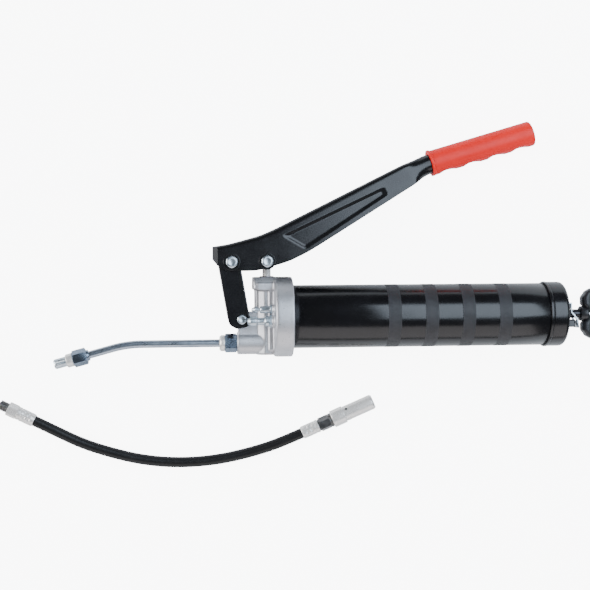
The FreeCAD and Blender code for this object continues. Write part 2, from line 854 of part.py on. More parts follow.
def is_upper_edge(edge, half):
    """Whether an edge of the lever's blank runs along the top of one of its sides."""
    spot = middle(edge)
    rests_on_side = abs(abs(spot.z) - half) < 0.01 and edge.BoundBox.ZLength < 0.01
    top = spot.x > -71 and spot.y > 58 + 0.45 * max(spot.x + 30, 0)
    return rests_on_side and (top and spot.x < 121)


def tail_rod(label, radius, start, end):
    """A round bar on the grip's axis."""
    rod = doc.addObject("Part::Cylinder", label)
    rod.setExpression("Radius", bound(radius))
    rod.Height = end - start
    turn = grip_axis() * Rotation(Vector(0, 1, 0), 90)
    spot = Vector(size("grip_x"), size("grip_y"), 0) + grip_axis().multVec(Vector(start, 0, 0))
    rod.Placement = Placement(spot, turn)
    doc.recompute()
    return rod


def make_grip():
    """The moulded grip: a flanged sleeve, closed at its end, with finger valleys below."""
    body = new_body("lever_grip")
    turned(body, [
        ("0", "tail_radius"),
        ("0", "flange_radius"),
        ("2", "flange_radius"),
        ("2", "grip_radius"),
        ("grip_length", "grip_radius"),
        ("grip_length", "0"),
        ("grip_length - 13.4", "0"),
        ("grip_length - 13.4", "tail_radius"),
    ])
    end = size("grip_length")
    rounded(body, "grip_round", lambda edge: (
        abs(edge.BoundBox.XMin - end) < 0.01 and abs(edge.BoundBox.XMax - end) < 0.01
    ))
    valleys = [
        circle(f"{15 + 23.3 * valley:.1f}", "-grip_radius - 12", "14") for valley in range(4)
    ]
    pocket(body, "XY_Plane", "grip_radius + 1", "2 * grip_radius + 2", *valleys)
    keep(body, "lever_grip", spot=(size("grip_x"), size("grip_y"), 0), turn=grip_axis())


def hex_bolt(label, flats, head, radius, shank):
    """A bolt along x: its head from 0 to head, its shank from 0 back to -shank."""
    body = new_body(label)
    pad(body, "YZ_Plane", "0", head, hexagon(flats))
    trim_corners(body, flats, head, -1)
    turned(body, rectangle(f"-({shank})", "0", "0", radius))
    return body


def hex_nut(label, flats, height, radius):
    """A nut along x from 0 to height, bevelled at both ends."""
    body = new_body(label)
    pad(body, "YZ_Plane", "0", height, hexagon(flats))
    trim_corners(body, flats, height, -1)
    trim_corners(body, flats, "0", 1)
    pocket(body, "YZ_Plane", height, height, circle("0", "0", radius))
    return body


def make_pivots():
    """Two like bolts and nuts in the lever, the link's own, and the eye's spacers."""
    top = (size("top_x"), size("top_y"))
    eye = (size("boss_x"), size("plunger_y"))
    shank = "2 * lever_half + nut_height + 1"
    half = size("lever_half")
    bolts = []
    nuts = []
    for x, y in (top, eye):
        bolt = hex_bolt("bolt", "bolt_flats", "bolt_head", "bolt_radius", shank)
        bolt.Placement = Placement(Vector(x, y, half), ALONG_Z)
        bolts.append(bolt)
        nut = hex_nut("nut", "bolt_flats", "nut_height", "bolt_radius")
        nut.Placement = Placement(Vector(x, y, -half - size("nut_height")), ALONG_Z)
        nuts.append(nut)
    for label, pieces in (("lever_bolts", bolts), ("lever_nuts", nuts)):
        group = doc.addObject("Part::Compound", label)
        group.Links = pieces
        doc.recompute()
        keep(group, label)
    spacers = new_body("eye_spacers")
    for start in ("eye_half + 0.1", "-(lever_half - lever_wall) + 0.05"):
        length = "lever_half - lever_wall - eye_half - 0.15"
        pad(spacers, "XY_Plane", start, length, circle("0", "0", "5"),
            circle("0", "0", "bolt_radius + 0.05"))
    keep(spacers, "eye_spacers", spot=(*eye, 0))

    base = (size("base_x"), size("base_y"))
    half = size("link_half")
    shank = "2 * link_half + nut_height"
    bolt = hex_bolt("base", "base_bolt_flats", "base_bolt_head", "base_bolt_radius", shank)
    keep(bolt, "link_base_bolt", spot=(*base, half), turn=ALONG_Z)
    nut = hex_nut("base_nut", "base_bolt_flats", "nut_height - 1", "base_bolt_radius")
    keep(nut, "link_base_nut", spot=(*base, -half - size("nut_height") + 1), turn=ALONG_Z)


# ---- outlet pipe and the grease couplers --------------------------------------------

def make_outlet_nut():
    """The hexagon that screws the pipe into the head, and the collar behind it."""
    nut = new_body("outlet_nut")
    bore = "pipe_radius"
    turned(nut, [
        ("stub_end", bore),
        ("stub_end", "stub_radius"),
        ("outlet_front", "stub_radius"),
        ("outlet_front", "7.4"),
        ("outlet_front - 11", "7.4"),
        ("outlet_front - 11", bore),
    ])
    corners = hexagon("15")
    pad(nut, "YZ_Plane", "outlet_front - 11", "11", corners, circle("0", "0", "7"))
    trim_corners(nut, "15", "outlet_front - 11", 1)
    keep(nut, "outlet_nut", spot=(0, size("outlet_y"), 0))
    turned_piece("pipe_collar", [
        ("outlet_front - 11", bore),
        ("outlet_front - 11", "7.3"),
        ("outlet_front - 14.5", "7.3"),
        ("outlet_front - 15.7", "6"),
        ("outlet_front - 15.7", bore),
    ], spot=(0, size("outlet_y"), 0))


def coupler_turn():
    """The coupler's own x axis: out along the bent end of the pipe."""
    return Rotation(Vector(0, 0, 1), 180 + size("pipe_angle"))


def coupler_spot():
    run = size("coupler_x") - size("pipe_bend_x")
    drop = run * math.tan(math.radians(size("pipe_angle")))
    return Vector(size("coupler_x"), size("outlet_y") + drop, 0)


def make_pipe():
    """The steel outlet pipe: straight, one slow bend, and straight into the coupler."""
    elbow = Vector(size("pipe_bend_x"), size("outlet_y"), 0)
    start = Vector(size("stub_end"), size("outlet_y"), 0)
    end = coupler_spot() + coupler_turn().multVec(Vector(8, 0, 0))
    path = tube_path([start, elbow, end], [size("pipe_bend_radius")])
    wall = swept_rod(path, size("pipe_radius")).cut(swept_rod(path, size("pipe_bore")))
    pipe = doc.addObject("Part::Feature", "pipe")
    pipe.Shape = wall
    keep(pipe, "delivery_pipe")


def make_coupler(prefix, socket_bore, spot, turn, laid):
    """A jawed coupler: socket, sleeve, jaws, rubber-faced piston and its spring."""
    collar = f"{prefix}_collar_end"
    hexagon_end = f"{prefix}_hexagon_end"
    sleeve_start = f"{prefix}_sleeve_start"
    sleeve_end = f"{prefix}_sleeve_end"
    sleeve = f"{prefix}_sleeve_radius"
    nose = f"{prefix}_nose_radius"
    end = f"{prefix}_coupler_end"
    flats = f"{prefix}_flats"
    stub = f"{nose} + 0.45"
    stub_end = f"{sleeve_end} - 2.7"

    socket = new_body(f"{prefix}_socket")
    pad(socket, "YZ_Plane", collar, f"{hexagon_end} - {collar}", hexagon(flats))
    trim_corners(socket, flats, collar, 1)
    trim_corners(socket, flats, hexagon_end, -1)
    turned(socket, rectangle("0", "0", collar, "5"))
    turned(socket, rectangle(hexagon_end, "0", stub_end, stub))
    pocket(socket, "YZ_Plane", "8", "8", circle("0", "0", socket_bore))
    pocket(socket, "YZ_Plane", "10", "3", circle("0", "0", "1.2"))
    pocket(socket, "YZ_Plane", stub_end, f"{stub_end} - 9", circle("0", "0", "3"))
    keep(socket, f"{prefix}_coupler_socket", spot, turn, laid)

    shell = new_body(f"{prefix}_sleeve")
    turned(shell, [
        (sleeve_start, stub),
        (sleeve_start, f"{sleeve} - 0.4"),
        (f"{sleeve_start} + 0.4", sleeve),
        (f"{sleeve_end} - 0.8", sleeve),
        (sleeve_end, f"{sleeve} - 0.8"),
        (sleeve_end, nose),
        (f"{sleeve_end} - 1", nose),
        (f"{sleeve_end} - 1", stub),
    ])
    keep(shell, f"{prefix}_coupler_sleeve", spot, turn, laid)

    jaws = new_body(f"{prefix}_jaws")
    turned(jaws, [
        (f"{sleeve_end} - 2.6", "3.1"),
        (f"{sleeve_end} - 2.6", f"{stub} - 0.1"),
        (f"{sleeve_end} - 1.1", f"{stub} - 0.1"),
        (f"{sleeve_end} - 1.1", f"{nose} - 0.03"),
        (f"{end} - 1.5", f"{nose} - 0.03"),
        (end, f"{nose} - 0.8"),
        (end, "mouth_radius"),
        (f"{end} - mouth_depth", "mouth_radius"),
        (f"{end} - mouth_depth", "3.1"),
    ])
    for cut in range(3):
        split_jaw(jaws, math.radians(120 * cut + 90), f"{sleeve_end} - 4", f"{end} + 1")
    keep(jaws, f"{prefix}_coupler_jaws", spot, turn, laid)

    back = f"{sleeve_end} - 6"
    piston = new_body(f"{prefix}_piston")
    turned(piston, [(back, "0.9"), (back, "2.95"), (f"{end} - 11", "2.95"), (f"{end} - 11", "0.9")])
    keep(piston, f"{prefix}_coupler_piston", spot, turn, laid)
    spring_end = size(sleeve_end) - 6
    spring = coil_spring(
        f"{prefix}_spring", 10.1, spring_end - 0.1, radius=2.1, wire=0.35, turns=3
    )
    keep(spring, f"{prefix}_coupler_spring", spot, turn, laid)


def split_jaw(jaws, angle, start, end):
    """Saw one slot, 0.9 wide, through the ring of jaws on one side."""
    across = Vector(-math.sin(angle), math.cos(angle), 0) * 0.45
    out = Vector(math.cos(angle), math.sin(angle), 0) * 12
    corners = [-across, out - across, out + across, across]
    slot = [(f"{corner.x:.5f}", f"{corner.y:.5f}") for corner in corners]
    pocket(jaws, "YZ_Plane", end, f"({end}) - ({start})", slot)


# ---- extension hose, lying on the ground --------------------------------------------

# The hose's route from ferrule mouth to ferrule mouth: it leaves both level, settles onto
# the ground and runs round one slow, slightly uneven bend.
HOSE_ROUTE = [
    Vector(*point) for point in (
        (-274.0, -165.0, 6.1),
        (-257.5, -173.4, 6.1),
        (-230.6, -187.4, 5.1),
        (-204.8, -196.2, 5.1),
        (-178.9, -203.0, 5.1),
        (-152.9, -206.5, 5.1),
        (-126.7, -206.8, 5.1),
        (-100.4, -204.1, 5.1),
        (-74.0, -198.2, 5.2),
        (-47.6, -189.5, 8.1),
        (-25.0, -179.5, 8.1),
    )
]


def arc_radii(route):
    """At each bend, the largest arc that takes up 0.45 of its shorter run."""
    radii = []
    for before, here, after in zip(route, route[1:], route[2:]):
        shorter = min((here - before).Length, (after - here).Length)
        half_turn = (here - before).getAngle(after - here) / 2
        radii.append(0.45 * shorter / math.tan(half_turn))
    return radii


def outward(end, beside):
    """The turn that points a fitting's x axis out of the hose's end."""
    return Rotation(Vector(1, 0, 0), end - beside)


def make_hose():
    """The rubber hose itself, a plain round rod along its route."""
    radii = arc_radii(HOSE_ROUTE)
    path = tube_path(HOSE_ROUTE, radii)
    rod = swept_rod(path, size("hose_radius"))
    hose = doc.addObject("Part::Feature", "hose")
    hose.Shape = rod
    keep(hose, "hose_tube", laid=False)
    section = math.pi * size("hose_radius") ** 2
    print("hose bends", [round(radius) for radius in radii])
    print(f"hose length {path.Length:.1f}, volume over section times length "
          f"{rod.Volume / (section * path.Length):.5f}")


def make_hose_ends():
    """Two like crimped ferrules, the threaded inlet fitting and the grease coupler."""
    inlet = HOSE_ROUTE[0]
    inlet_turn = outward(HOSE_ROUTE[0], HOSE_ROUTE[1])
    outlet = HOSE_ROUTE[-1]
    outlet_turn = outward(HOSE_ROUTE[-1], HOSE_ROUTE[-2])
    ferrules = []
    for spot, turn in ((inlet, inlet_turn), (outlet, outlet_turn)):
        ferrule = new_body("ferrule")
        turned(ferrule, [
            ("0", "hose_bore"),
            ("0", "ferrule_radius - 0.5"),
            ("1.5", "ferrule_radius - 0.2"),
            ("5", "ferrule_radius - 0.2"),
            ("6", "ferrule_radius - 0.6"),
            ("7.5", "ferrule_radius - 0.6"),
            ("8.5", "ferrule_radius"),
            ("11", "ferrule_radius"),
            ("12", "ferrule_radius - 0.5"),
            ("13.5", "ferrule_radius - 0.5"),
            ("14.5", "ferrule_radius"),
            ("ferrule_length", "ferrule_radius"),
            ("ferrule_length", "hose_bore"),
        ])
        ferrule.Placement = Placement(spot, turn)
        ferrules.append(ferrule)
    pair = doc.addObject("Part::Compound", "ferrules")
    pair.Links = ferrules
    doc.recompute()
    keep(pair, "hose_ferrules", laid=False)

    fitting = new_body("inlet_fitting")
    hexagon_length = "9.5"
    thread_end = "9.5 + 8"
    pad(fitting, "YZ_Plane", "0", hexagon_length, hexagon("hose_flats"))
    trim_corners(fitting, "hose_flats", hexagon_length, -1)
    trim_corners(fitting, "hose_flats", "0", 1)
    turned(fitting, [
        (hexagon_length, "0"),
        (hexagon_length, "thread_radius"),
        (f"{thread_end} - 0.6", "thread_radius"),
        (thread_end, "thread_radius - 0.6"),
        (thread_end, "2.2"),
        (f"{thread_end} + 2.5", "2.2"),
        (f"{thread_end} + 2.5", "0"),
    ])
    bore = circle("0", "0", "hose_bore - 0.4")
    pocket(fitting, "YZ_Plane", f"{thread_end} + 2.5", f"{thread_end} + 2.5", bore)
    reach = Vector(size("ferrule_length"), 0, 0)
    keep(fitting, "hose_inlet_fitting", inlet + inlet_turn.multVec(reach), inlet_turn, laid=False)
    spot = outlet + outlet_turn.multVec(reach)
    make_coupler("hose", "hose_bore", spot, outlet_turn, laid=False)


make_barrel()
make_rear_cap()
make_follower()
make_handle()
make_rod_lock()
make_head()
make_head_seals()
make_outlet_valve()
make_fittings()
make_plunger()
make_link()
make_lever()
make_grip()
make_pivots()
make_outlet_nut()
make_pipe()
make_coupler("pipe", "pipe_radius", coupler_spot(), coupler_turn(), laid=True)
make_hose()
make_hose_ends()


def check_and_write():
    """Stop on any failed object or bad solid, then write each sub-part's file."""
    doc.recompute()
    faults = [i.Label for i in doc.Objects if {"Invalid", "Error"} & set(i.State)]
    faults += [label for label, item in nodes.items() if not is_sound(item.Shape)]
    if faults:
        raise RuntimeError(f"failed objects or bad solids: {faults}")
    os.makedirs("parts", exist_ok=True)
    for label, item in nodes.items():
        item.Shape.exportStep(f"parts/{label}.step")
        solids = len(item.Shape.Solids)
        print(f"{label:24s} solids {solids}  volume {item.Shape.Volume:10.1f}")


def is_sound(shape):
    return not shape.isNull() and shape.isValid() and shape.Volume > 0


check_and_write()
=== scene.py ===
import json
import math

import bmesh
import bpy
from mathutils import Matrix, Quaternion, Vector


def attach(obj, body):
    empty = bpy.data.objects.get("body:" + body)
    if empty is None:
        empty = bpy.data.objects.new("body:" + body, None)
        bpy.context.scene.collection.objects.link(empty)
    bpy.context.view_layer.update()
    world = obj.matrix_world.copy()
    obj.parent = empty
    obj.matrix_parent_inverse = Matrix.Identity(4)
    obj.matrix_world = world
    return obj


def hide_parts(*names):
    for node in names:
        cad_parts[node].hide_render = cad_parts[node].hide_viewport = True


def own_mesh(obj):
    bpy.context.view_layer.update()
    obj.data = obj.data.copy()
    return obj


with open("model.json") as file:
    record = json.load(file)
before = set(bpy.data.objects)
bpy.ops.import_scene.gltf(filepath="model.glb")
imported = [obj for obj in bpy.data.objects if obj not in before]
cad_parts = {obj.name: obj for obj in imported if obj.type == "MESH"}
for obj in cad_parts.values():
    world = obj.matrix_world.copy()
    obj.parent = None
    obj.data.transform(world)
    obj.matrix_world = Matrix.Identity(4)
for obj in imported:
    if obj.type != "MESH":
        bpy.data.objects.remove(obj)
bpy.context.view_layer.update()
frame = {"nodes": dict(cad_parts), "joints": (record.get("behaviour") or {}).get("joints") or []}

# Shapes are drawn in millimetres, in the gun's own frame: x along the barrel's axis towards
# the T-handle, y up the plunger, z out of the plane in which the lever swings.
MM = 0.001
TAU = 2 * math.pi
JOINTS = {joint["name"]: joint for joint in frame["joints"]}
# The axes of the bolts at the plunger's eye and at the link's top and foot, and the grip's front.
EYE = Vector((-22.6, 49.7, 0))
TOP = Vector((-54.3, 49.3, 0))
BASE = Vector((-45.6, -2.0, 0))
GRIP = Vector((127.6, 138.1, 0))
GRIP_ANGLE = math.radians(16.5)


def gun_frame():
    """The gun's own frame, read from its joints, as a matrix from mm to the row frame."""
    along = Vector(JOINTS["follower_pull"]["axis"]).normalized()
    up = Vector(JOINTS["plunger_slide"]["axis"]).normalized()
    out = along.cross(up)
    turn = Matrix((along, up, out)).transposed()
    eye = Vector(JOINTS["lever_swing"]["pos_m"])
    return Matrix.Translation(eye - turn @ EYE * MM) @ turn.to_4x4() @ Matrix.Scale(MM, 4)


GUN = gun_frame()


# ---- camera and light

CAMERA_AIM = Vector((3, 19.5, 0))
CAMERA_DISTANCE = 1050
CAMERA_SWING = math.radians(5)
CAMERA_ROLL = math.radians(0.54)
CAMERA_LENS = 70.84
WORLD_GLOW = 0.11
FLOOR_REACH = 40.0
# How strongly the floor shines on the gun, and how white the camera sees it.
FLOOR_GLOW = 0.3
FLOOR_WHITE = 8.0


def placed(name, data):
    """A new object in the scene."""
    item = bpy.data.objects.new(name, data)
    bpy.context.scene.collection.objects.link(item)
    return item


def make_camera():
    """Looks down on the gun, square to its lever's plane but for a few degrees."""
    turn = Matrix.Rotation(-CAMERA_SWING, 3, "Y") @ Matrix.Rotation(-CAMERA_ROLL, 3, "Z")
    spot = GUN @ (CAMERA_AIM + turn.col[2] * CAMERA_DISTANCE)
    camera = placed("camera", bpy.data.cameras.new("camera"))
    camera.data.lens = CAMERA_LENS
    camera.data.clip_end = 20
    camera.matrix_world = Matrix.Translation(spot) @ (GUN.to_3x3().normalized() @ turn).to_4x4()
    bpy.context.scene.camera = camera


def softbox(name, spot, size, power, colour, spin=None):
    """An area light at a spot in the gun's frame, with its size in metres. It faces the gun,
    or with a spin it lies square to the gun's z axis and is turned about it."""
    light = bpy.data.lights.new(name, "AREA")
    light.shape = "RECTANGLE"
    light.size, light.size_y = size
    light.energy = power
    light.color = colour
    turn = Vector(spot).to_track_quat("Z", "Y")
    if spin is not None:
        turn = Quaternion((0, 0, 1), spin)
    lamp = placed(name, light)
    lamp.location = GUN @ Vector(spot)
    lamp.rotation_mode = "QUATERNION"
    lamp.rotation_quaternion = GUN.to_quaternion() @ turn


def make_lights():
    """A softbox past the outlet, a cool one over the barrel, and one past the hose."""
    softbox("light_left", (-2300, 300, 1000), (1.4, 1.8), 60, (1.0, 1.0, 1.0))
    softbox("light_above", (1184, 668, 1800), (1.9, 1.9), 60, (0.74, 0.86, 1.0), spin=0.12)
    softbox("light_below", (0, -1900, 900), (3.4, 1.9), 34, (1.0, 0.96, 0.97))
    world = bpy.data.worlds.new("studio")
    bpy.context.scene.world = world
    world.use_nodes = True
    background = world.node_tree.nodes["Background"]
    background.inputs["Color"].default_value = (0.9, 0.95, 1.0, 1)
    background.inputs["Strength"].default_value = WORLD_GLOW


def make_floor():
    """Plain white paper, which glows."""
    mesh = bpy.data.meshes.new("floor")
    corners = [(x * FLOOR_REACH, y * FLOOR_REACH, 0) for x, y in ((-1, -1), (1, -1), (1, 1), (-1, 1))]
    mesh.from_pydata(corners, [], [(0, 1, 2, 3)])
    material, tree, shader = new_material("floor_paper")
    shader.inputs["Base Color"].default_value = (0.94, 0.945, 0.95, 1)
    shader.inputs["Emission Color"].default_value = (1, 1, 1, 1)
    seen = node(tree, "LightPath").outputs["Is Camera Ray"]
    link(tree, ranged(tree, seen, FLOOR_GLOW, FLOOR_WHITE, 0, 1), shader, "Emission Strength")
    fibres = noise(tree, 900, 3)
    link(tree, ranged(tree, fibres, 0.72, 0.82), shader, "Roughness")
    mesh.materials.append(material)
    floor = placed("floor", mesh)


# ---- material nodes

def new_material(name):
    material = bpy.data.materials.new(name)
    material.use_nodes = True
    return material, material.node_tree, material.node_tree.nodes["Principled BSDF"]


def node(tree, kind, settings=None, **inputs):
    """A shader node with its properties and its inputs set, or linked where they are sockets."""
    made = tree.nodes.new(f"ShaderNode{kind}")
    for key, value in (settings or {}).items():
        setattr(made, key, value)
    for key, value in inputs.items():
        socket = made.inputs[key.replace("_", " ")]
        if isinstance(value, bpy.types.NodeSocket):
            tree.links.new(value, socket)
        else:
            socket.default_value = value
    return made


def link(tree, output, target, name):
    tree.links.new(output, target.inputs[name])


def noise(tree, scale, detail, roughness=0.5, squeeze=(1, 1, 1)):
    """Noise with scale repeats per metre, drawn out along each axis that squeeze makes small."""
    spot = node(tree, "TexCoord").outputs["Object"]
    squeezed = node(tree, "Mapping", Vector=spot, Scale=squeeze).outputs["Vector"]
    made = node(tree, "TexNoise", Vector=squeezed, Scale=scale, Detail=detail, Roughness=roughness)
    return made.outputs["Fac"]


def ranged(tree, value, low, high, start=0.25, end=0.75):
    """A value between start and end, spread from low to high and held there."""
    made = node(tree, "MapRange", Value=value, From_Min=start, From_Max=end,
                To_Min=low, To_Max=high)
    return made.outputs["Result"]


def mixed(tree, share, first, second):
    """Two colours mixed by a share that varies over the surface."""
    made = node(tree, "Mix", {"data_type": "RGBA"})
    link(tree, share, made, "Factor")
    for index, colour in ((6, first), (7, second)):
        if isinstance(colour, bpy.types.NodeSocket):
            tree.links.new(colour, made.inputs[index])
        else:
            made.inputs[index].default_value = (*colour, 1)
    return made.outputs[2]


def edges(tree, shader, height, strength, depth_mm, edge_mm):
    """Round the edges over edge_mm, add bump from a height, and return how worn a spot is."""
    rounded = node(tree, "Bevel", {"samples": 5}, Radius=edge_mm * MM).outputs["Normal"]
    bump = node(tree, "Bump", Height=height, Strength=strength, Distance=depth_mm * MM,
                Normal=rounded)
    link(tree, bump.outputs["Normal"], shader, "Normal")
    dot = node(tree, "VectorMath", {"operation": "DOT_PRODUCT"})
    tree.links.new(rounded, dot.inputs[0])
    tree.links.new(node(tree, "NewGeometry").outputs["Normal"], dot.inputs[1])
    turned_off = ranged(tree, dot.outputs["Value"], 1, 0, 0.72, 0.99)
    patches = ranged(tree, noise(tree, 320, 5), 0.15, 1, 0.4, 0.65)
    return calculated(tree, "MULTIPLY", turned_off, patches)


def calculated(tree, operation, first, second):
    made = node(tree, "Math", {"operation": operation})
    tree.links.new(first, made.inputs[0])
    tree.links.new(second, made.inputs[1])
    return made.outputs[0]


def metal(name, light, dark, roughness, squeeze=(1, 1, 1), bare=1.0):
    """Plated or bare metal: a mottled tone, uneven polish, fine marks and bright edges."""
    material, tree, shader = new_material(name)
    shader.inputs["Metallic"].default_value = bare
    marks = noise(tree, 2400, 3, squeeze=squeeze)
    worn = edges(tree, shader, marks, 0.25, 0.05, 0.2)
    tone = mixed(tree, ranged(tree, noise(tree, 160, 4), 0, 1), dark, light)
    bright = [min(1.0, part * 1.25) for part in light]
    link(tree, mixed(tree, worn, tone, bright), shader, "Base Color")
    smudges = ranged(tree, noise(tree, 96, 2), *roughness)
    polish = calculated(tree, "ADD", smudges, ranged(tree, marks, -0.04, 0.04))
    link(tree, polish, shader, "Roughness")
    return material


def coating(name, grain, bump, cloud, tones, rubbed, roughness, haze=None, spread=(0.25, 0.75),
            gloss=0.5):
    """A mottled skin with a fine grain and rubbed edges. grain, cloud and haze are settings of
    noises: the cloud mixes the tones, and the haze, or else the grain, varies the roughness."""
    material, tree, shader = new_material(name)
    marks = noise(tree, *grain)
    worn = edges(tree, shader, marks, *bump)
    tone = mixed(tree, ranged(tree, noise(tree, *cloud), 0, 1, *spread), *tones)
    link(tree, mixed(tree, worn, tone, rubbed), shader, "Base Color")
    uneven = noise(tree, *haze) if haze else marks
    link(tree, ranged(tree, uneven, *roughness), shader, "Roughness")
    shader.inputs["Specular IOR Level"].default_value = gloss
    return material


def paint(name, colour, pale, peel):
    """Paint over metal: faint orange peel, dusty patches and edges rubbed thin."""
    rubbed = [part * 3 + 0.02 for part in pale]
    return coating(name, (peel, 2), (0.12, 0.12, 0.4), (45, 5, 0.65), (colour, pale), rubbed,
                   (0.17, 0.25), haze=(60, 4, 0.6), spread=(0.45, 0.75))


def moulded(name, colour, deep, roughness, gloss=0.4):
    """Moulded plastic or rubber: a slight mottle, a fine grain and paler rubbed edges."""
    pale = [min(1.0, part * 1.2 + 0.015) for part in colour]
    return coating(name, (1500, 4), (0.3, 0.06, 0.5), (70, 4), (deep, colour), pale, roughness,
                   haze=(90, 3), gloss=gloss)


def knurl_material():
    """The knurled bands: the barrel's black worn matt, with rubbed points."""
    return coating("knurled_black", (1800, 3), (0.3, 0.05, 0.25), (120, 5),
                   ((0.014, 0.014, 0.016), (0.03, 0.03, 0.034)), (0.07, 0.07, 0.08), (0.42, 0.6))


def hose_material():
    """Black rubber with the faint print of the cloth that it was cured in."""
    return coating("hose_rubber", (1600, 4, 0.5, (1, 1, 0.4)), (0.4, 0.08, 0.3), (60, 4),
                   ((0.006, 0.006, 0.007), (0.012, 0.012, 0.013)), (0.05, 0.05, 0.05),
                   (0.30, 0.5), gloss=0.3)


def cast_material():
    """Shot-blasted cast aluminium: grainy, with pits and a slightly brighter rubbed skin."""
    material, tree, shader = new_material("cast_aluminium")
    shader.inputs["Metallic"].default_value = 1.0
    grain = noise(tree, 1300, 5, 0.7)
    worn = edges(tree, shader, grain, 0.5, 0.12, 0.6)
    cloud = ranged(tree, noise(tree, 90, 6, 0.6), 0, 1)
    tone = mixed(tree, cloud, (0.57, 0.573, 0.598), (0.70, 0.703, 0.73))
    pits = ranged(tree, noise(tree, 700, 3), 0, 1, 0.62, 0.72)
    pitted = mixed(tree, pits, tone, (0.40, 0.40, 0.42))
    link(tree, mixed(tree, worn, pitted, (0.84, 0.85, 0.87)), shader, "Base Color")
    link(tree, ranged(tree, grain, 0.38, 0.58), shader, "Roughness")
    return material


def make_materials():
    lengthwise = (0.3, 1, 1)
    return {
        "cast": cast_material(),
        "knurl": knurl_material(),
        "hose": hose_material(),
        "gloss_black": paint("gloss_black", (0.004, 0.004, 0.005), (0.008, 0.008, 0.010), 420),
        "satin_black": paint("satin_black", (0.005, 0.005, 0.006), (0.010, 0.010, 0.012), 900),
        "red": moulded("red_grip", (1.0, 0.020, 0.014), (0.88, 0.014, 0.010), (0.36, 0.5),
                       gloss=0.3),
        "plastic": moulded("black_plastic", (0.028, 0.028, 0.032), (0.018, 0.018, 0.020),
                           (0.26, 0.4), gloss=0.5),
        "rubber": moulded("black_rubber", (0.014, 0.014, 0.015), (0.009, 0.009, 0.009),
                          (0.5, 0.7)),
        "zinc": metal("bright_zinc", (0.68, 0.76, 0.82), (0.50, 0.58, 0.65), (0.24, 0.38)),
        "dull_zinc": metal("dull_zinc", (0.46, 0.52, 0.60), (0.33, 0.39, 0.47), (0.26, 0.40),
                           lengthwise),
        "blue_zinc": metal("blue_zinc", (0.28, 0.34, 0.42), (0.18, 0.23, 0.31), (0.2, 0.32)),
        "plate": metal("bright_plate", (1.0, 0.97, 0.93), (0.90, 0.87, 0.84), (0.20, 0.34),
                       lengthwise, bare=0.45),
        "ground": metal("ground_steel", (0.55, 0.53, 0.54), (0.42, 0.40, 0.41), (0.26, 0.38),
                        lengthwise),
        "blackened": metal("blackened_steel", (0.06, 0.06, 0.065), (0.03, 0.03, 0.035),
                           (0.22, 0.36)),
        "spring": metal("spring_steel", (0.36, 0.36, 0.38), (0.26, 0.26, 0.28), (0.25, 0.4)),
        "thread": metal("dark_thread", (0.24, 0.24, 0.24), (0.12, 0.12, 0.12), (0.26, 0.4)),
    }


# ---- shapes, as lists of corners and faces

def lofted(rows, around=True, ends="open"):
    """Skin a list of rows of points. ends is open, capped, or joined for a closed loop."""
    count = len(rows[0])
    points = [Vector(point) for row in rows for point in row]
    faces = []
    pairs = len(rows) if ends == "joined" else len(rows) - 1
    for row in range(pairs):
        here = row * count
        there = (row + 1) % len(rows) * count
        for spot in range(count if around else count - 1):
            after = (spot + 1) % count
            faces.append((here + spot, here + after, there + after, there + spot))
    if ends == "capped":
        faces.append(tuple(range(count))[::-1])
        faces.append(tuple(range((len(rows) - 1) * count, len(rows) * count)))
    return points, faces


def turned(profile, count=96, ends="open"):
    """Rings about the x axis. Each entry is (x, radius), or a function of the angle."""
    rows = []
    for entry in profile:
        row = []
        for step in range(count):
            angle = TAU * step / count
            x, radius = entry(angle) if callable(entry) else entry
            row.append((x, radius * math.cos(angle), radius * math.sin(angle)))
        rows.append(row)
    return lofted(rows, ends=ends)


def softened(outline, radius=0.3, steps=4, closed=False):
    """The outline with its corners rounded; a point may carry a radius of its own."""
    result = []
    count = len(outline)
    for index, entry in enumerate(outline):
        here = Vector(entry[:2])
        before = Vector(outline[index - 1][:2]) - here
        after = Vector(outline[(index + 1) % count][:2]) - here
        limit = entry[2] if len(entry) > 2 else radius
        sharp = not limit or (not closed and index in (0, count - 1))
        half = 0 if sharp else (math.pi - before.angle(after)) / 2
        if half < 0.02:
            result.append(tuple(here))
            continue
        reach = min(limit * math.tan(half), 0.45 * before.length, 0.45 * after.length)
        enter = here + before.normalized() * reach
        leave = here + after.normalized() * reach
        for step in range(steps + 1):
            t = step / steps
            point = enter * (1 - t) ** 2 + here * (2 * t * (1 - t)) + leave * t ** 2
            result.append(tuple(point))
    return result


def prism(outline, levels):
    """An outline in x and y, stacked at levels of (z, how far it is drawn in)."""
    return lofted([[(x, y, z) for x, y in drawn_in(outline, inset)] for z, inset in levels],
                  ends="capped")


def drawn_in(outline, distance):
    """A convex outline with every side moved inwards by a distance."""
    if not distance:
        return outline
    corners = [Vector(point) for point in outline]
    centre = sum(corners, Vector((0, 0))) / len(corners)
    moved = []
    for index, here in enumerate(corners):
        after = corners[(index + 1) % len(corners)]
        into = (here - corners[index - 1]).normalized()
        out_of = (after - here).normalized()
        normal = Vector((into.y + out_of.y, -into.x - out_of.x))
        if normal.dot(here - centre) < 0:
            normal = -normal
        moved.append(tuple(here - normal * (2 * distance / normal.dot(normal))))
    return moved


def slab(outline, low, high, inset=0.0):
    """An outline in x and y as a block along z, its ends drawn in over an inset."""
    levels = [(low, inset), (low + inset, 0), (high - inset, 0), (high, inset)]
    return prism(outline, levels if inset else [(low, 0), (high, 0)])


def box(low, high, inset=0.0):
    """A block between two corners."""
    outline = [(low[0], low[1]), (high[0], low[1]), (high[0], high[1]), (low[0], high[1])]
    return slab(outline, low[2], high[2], inset)


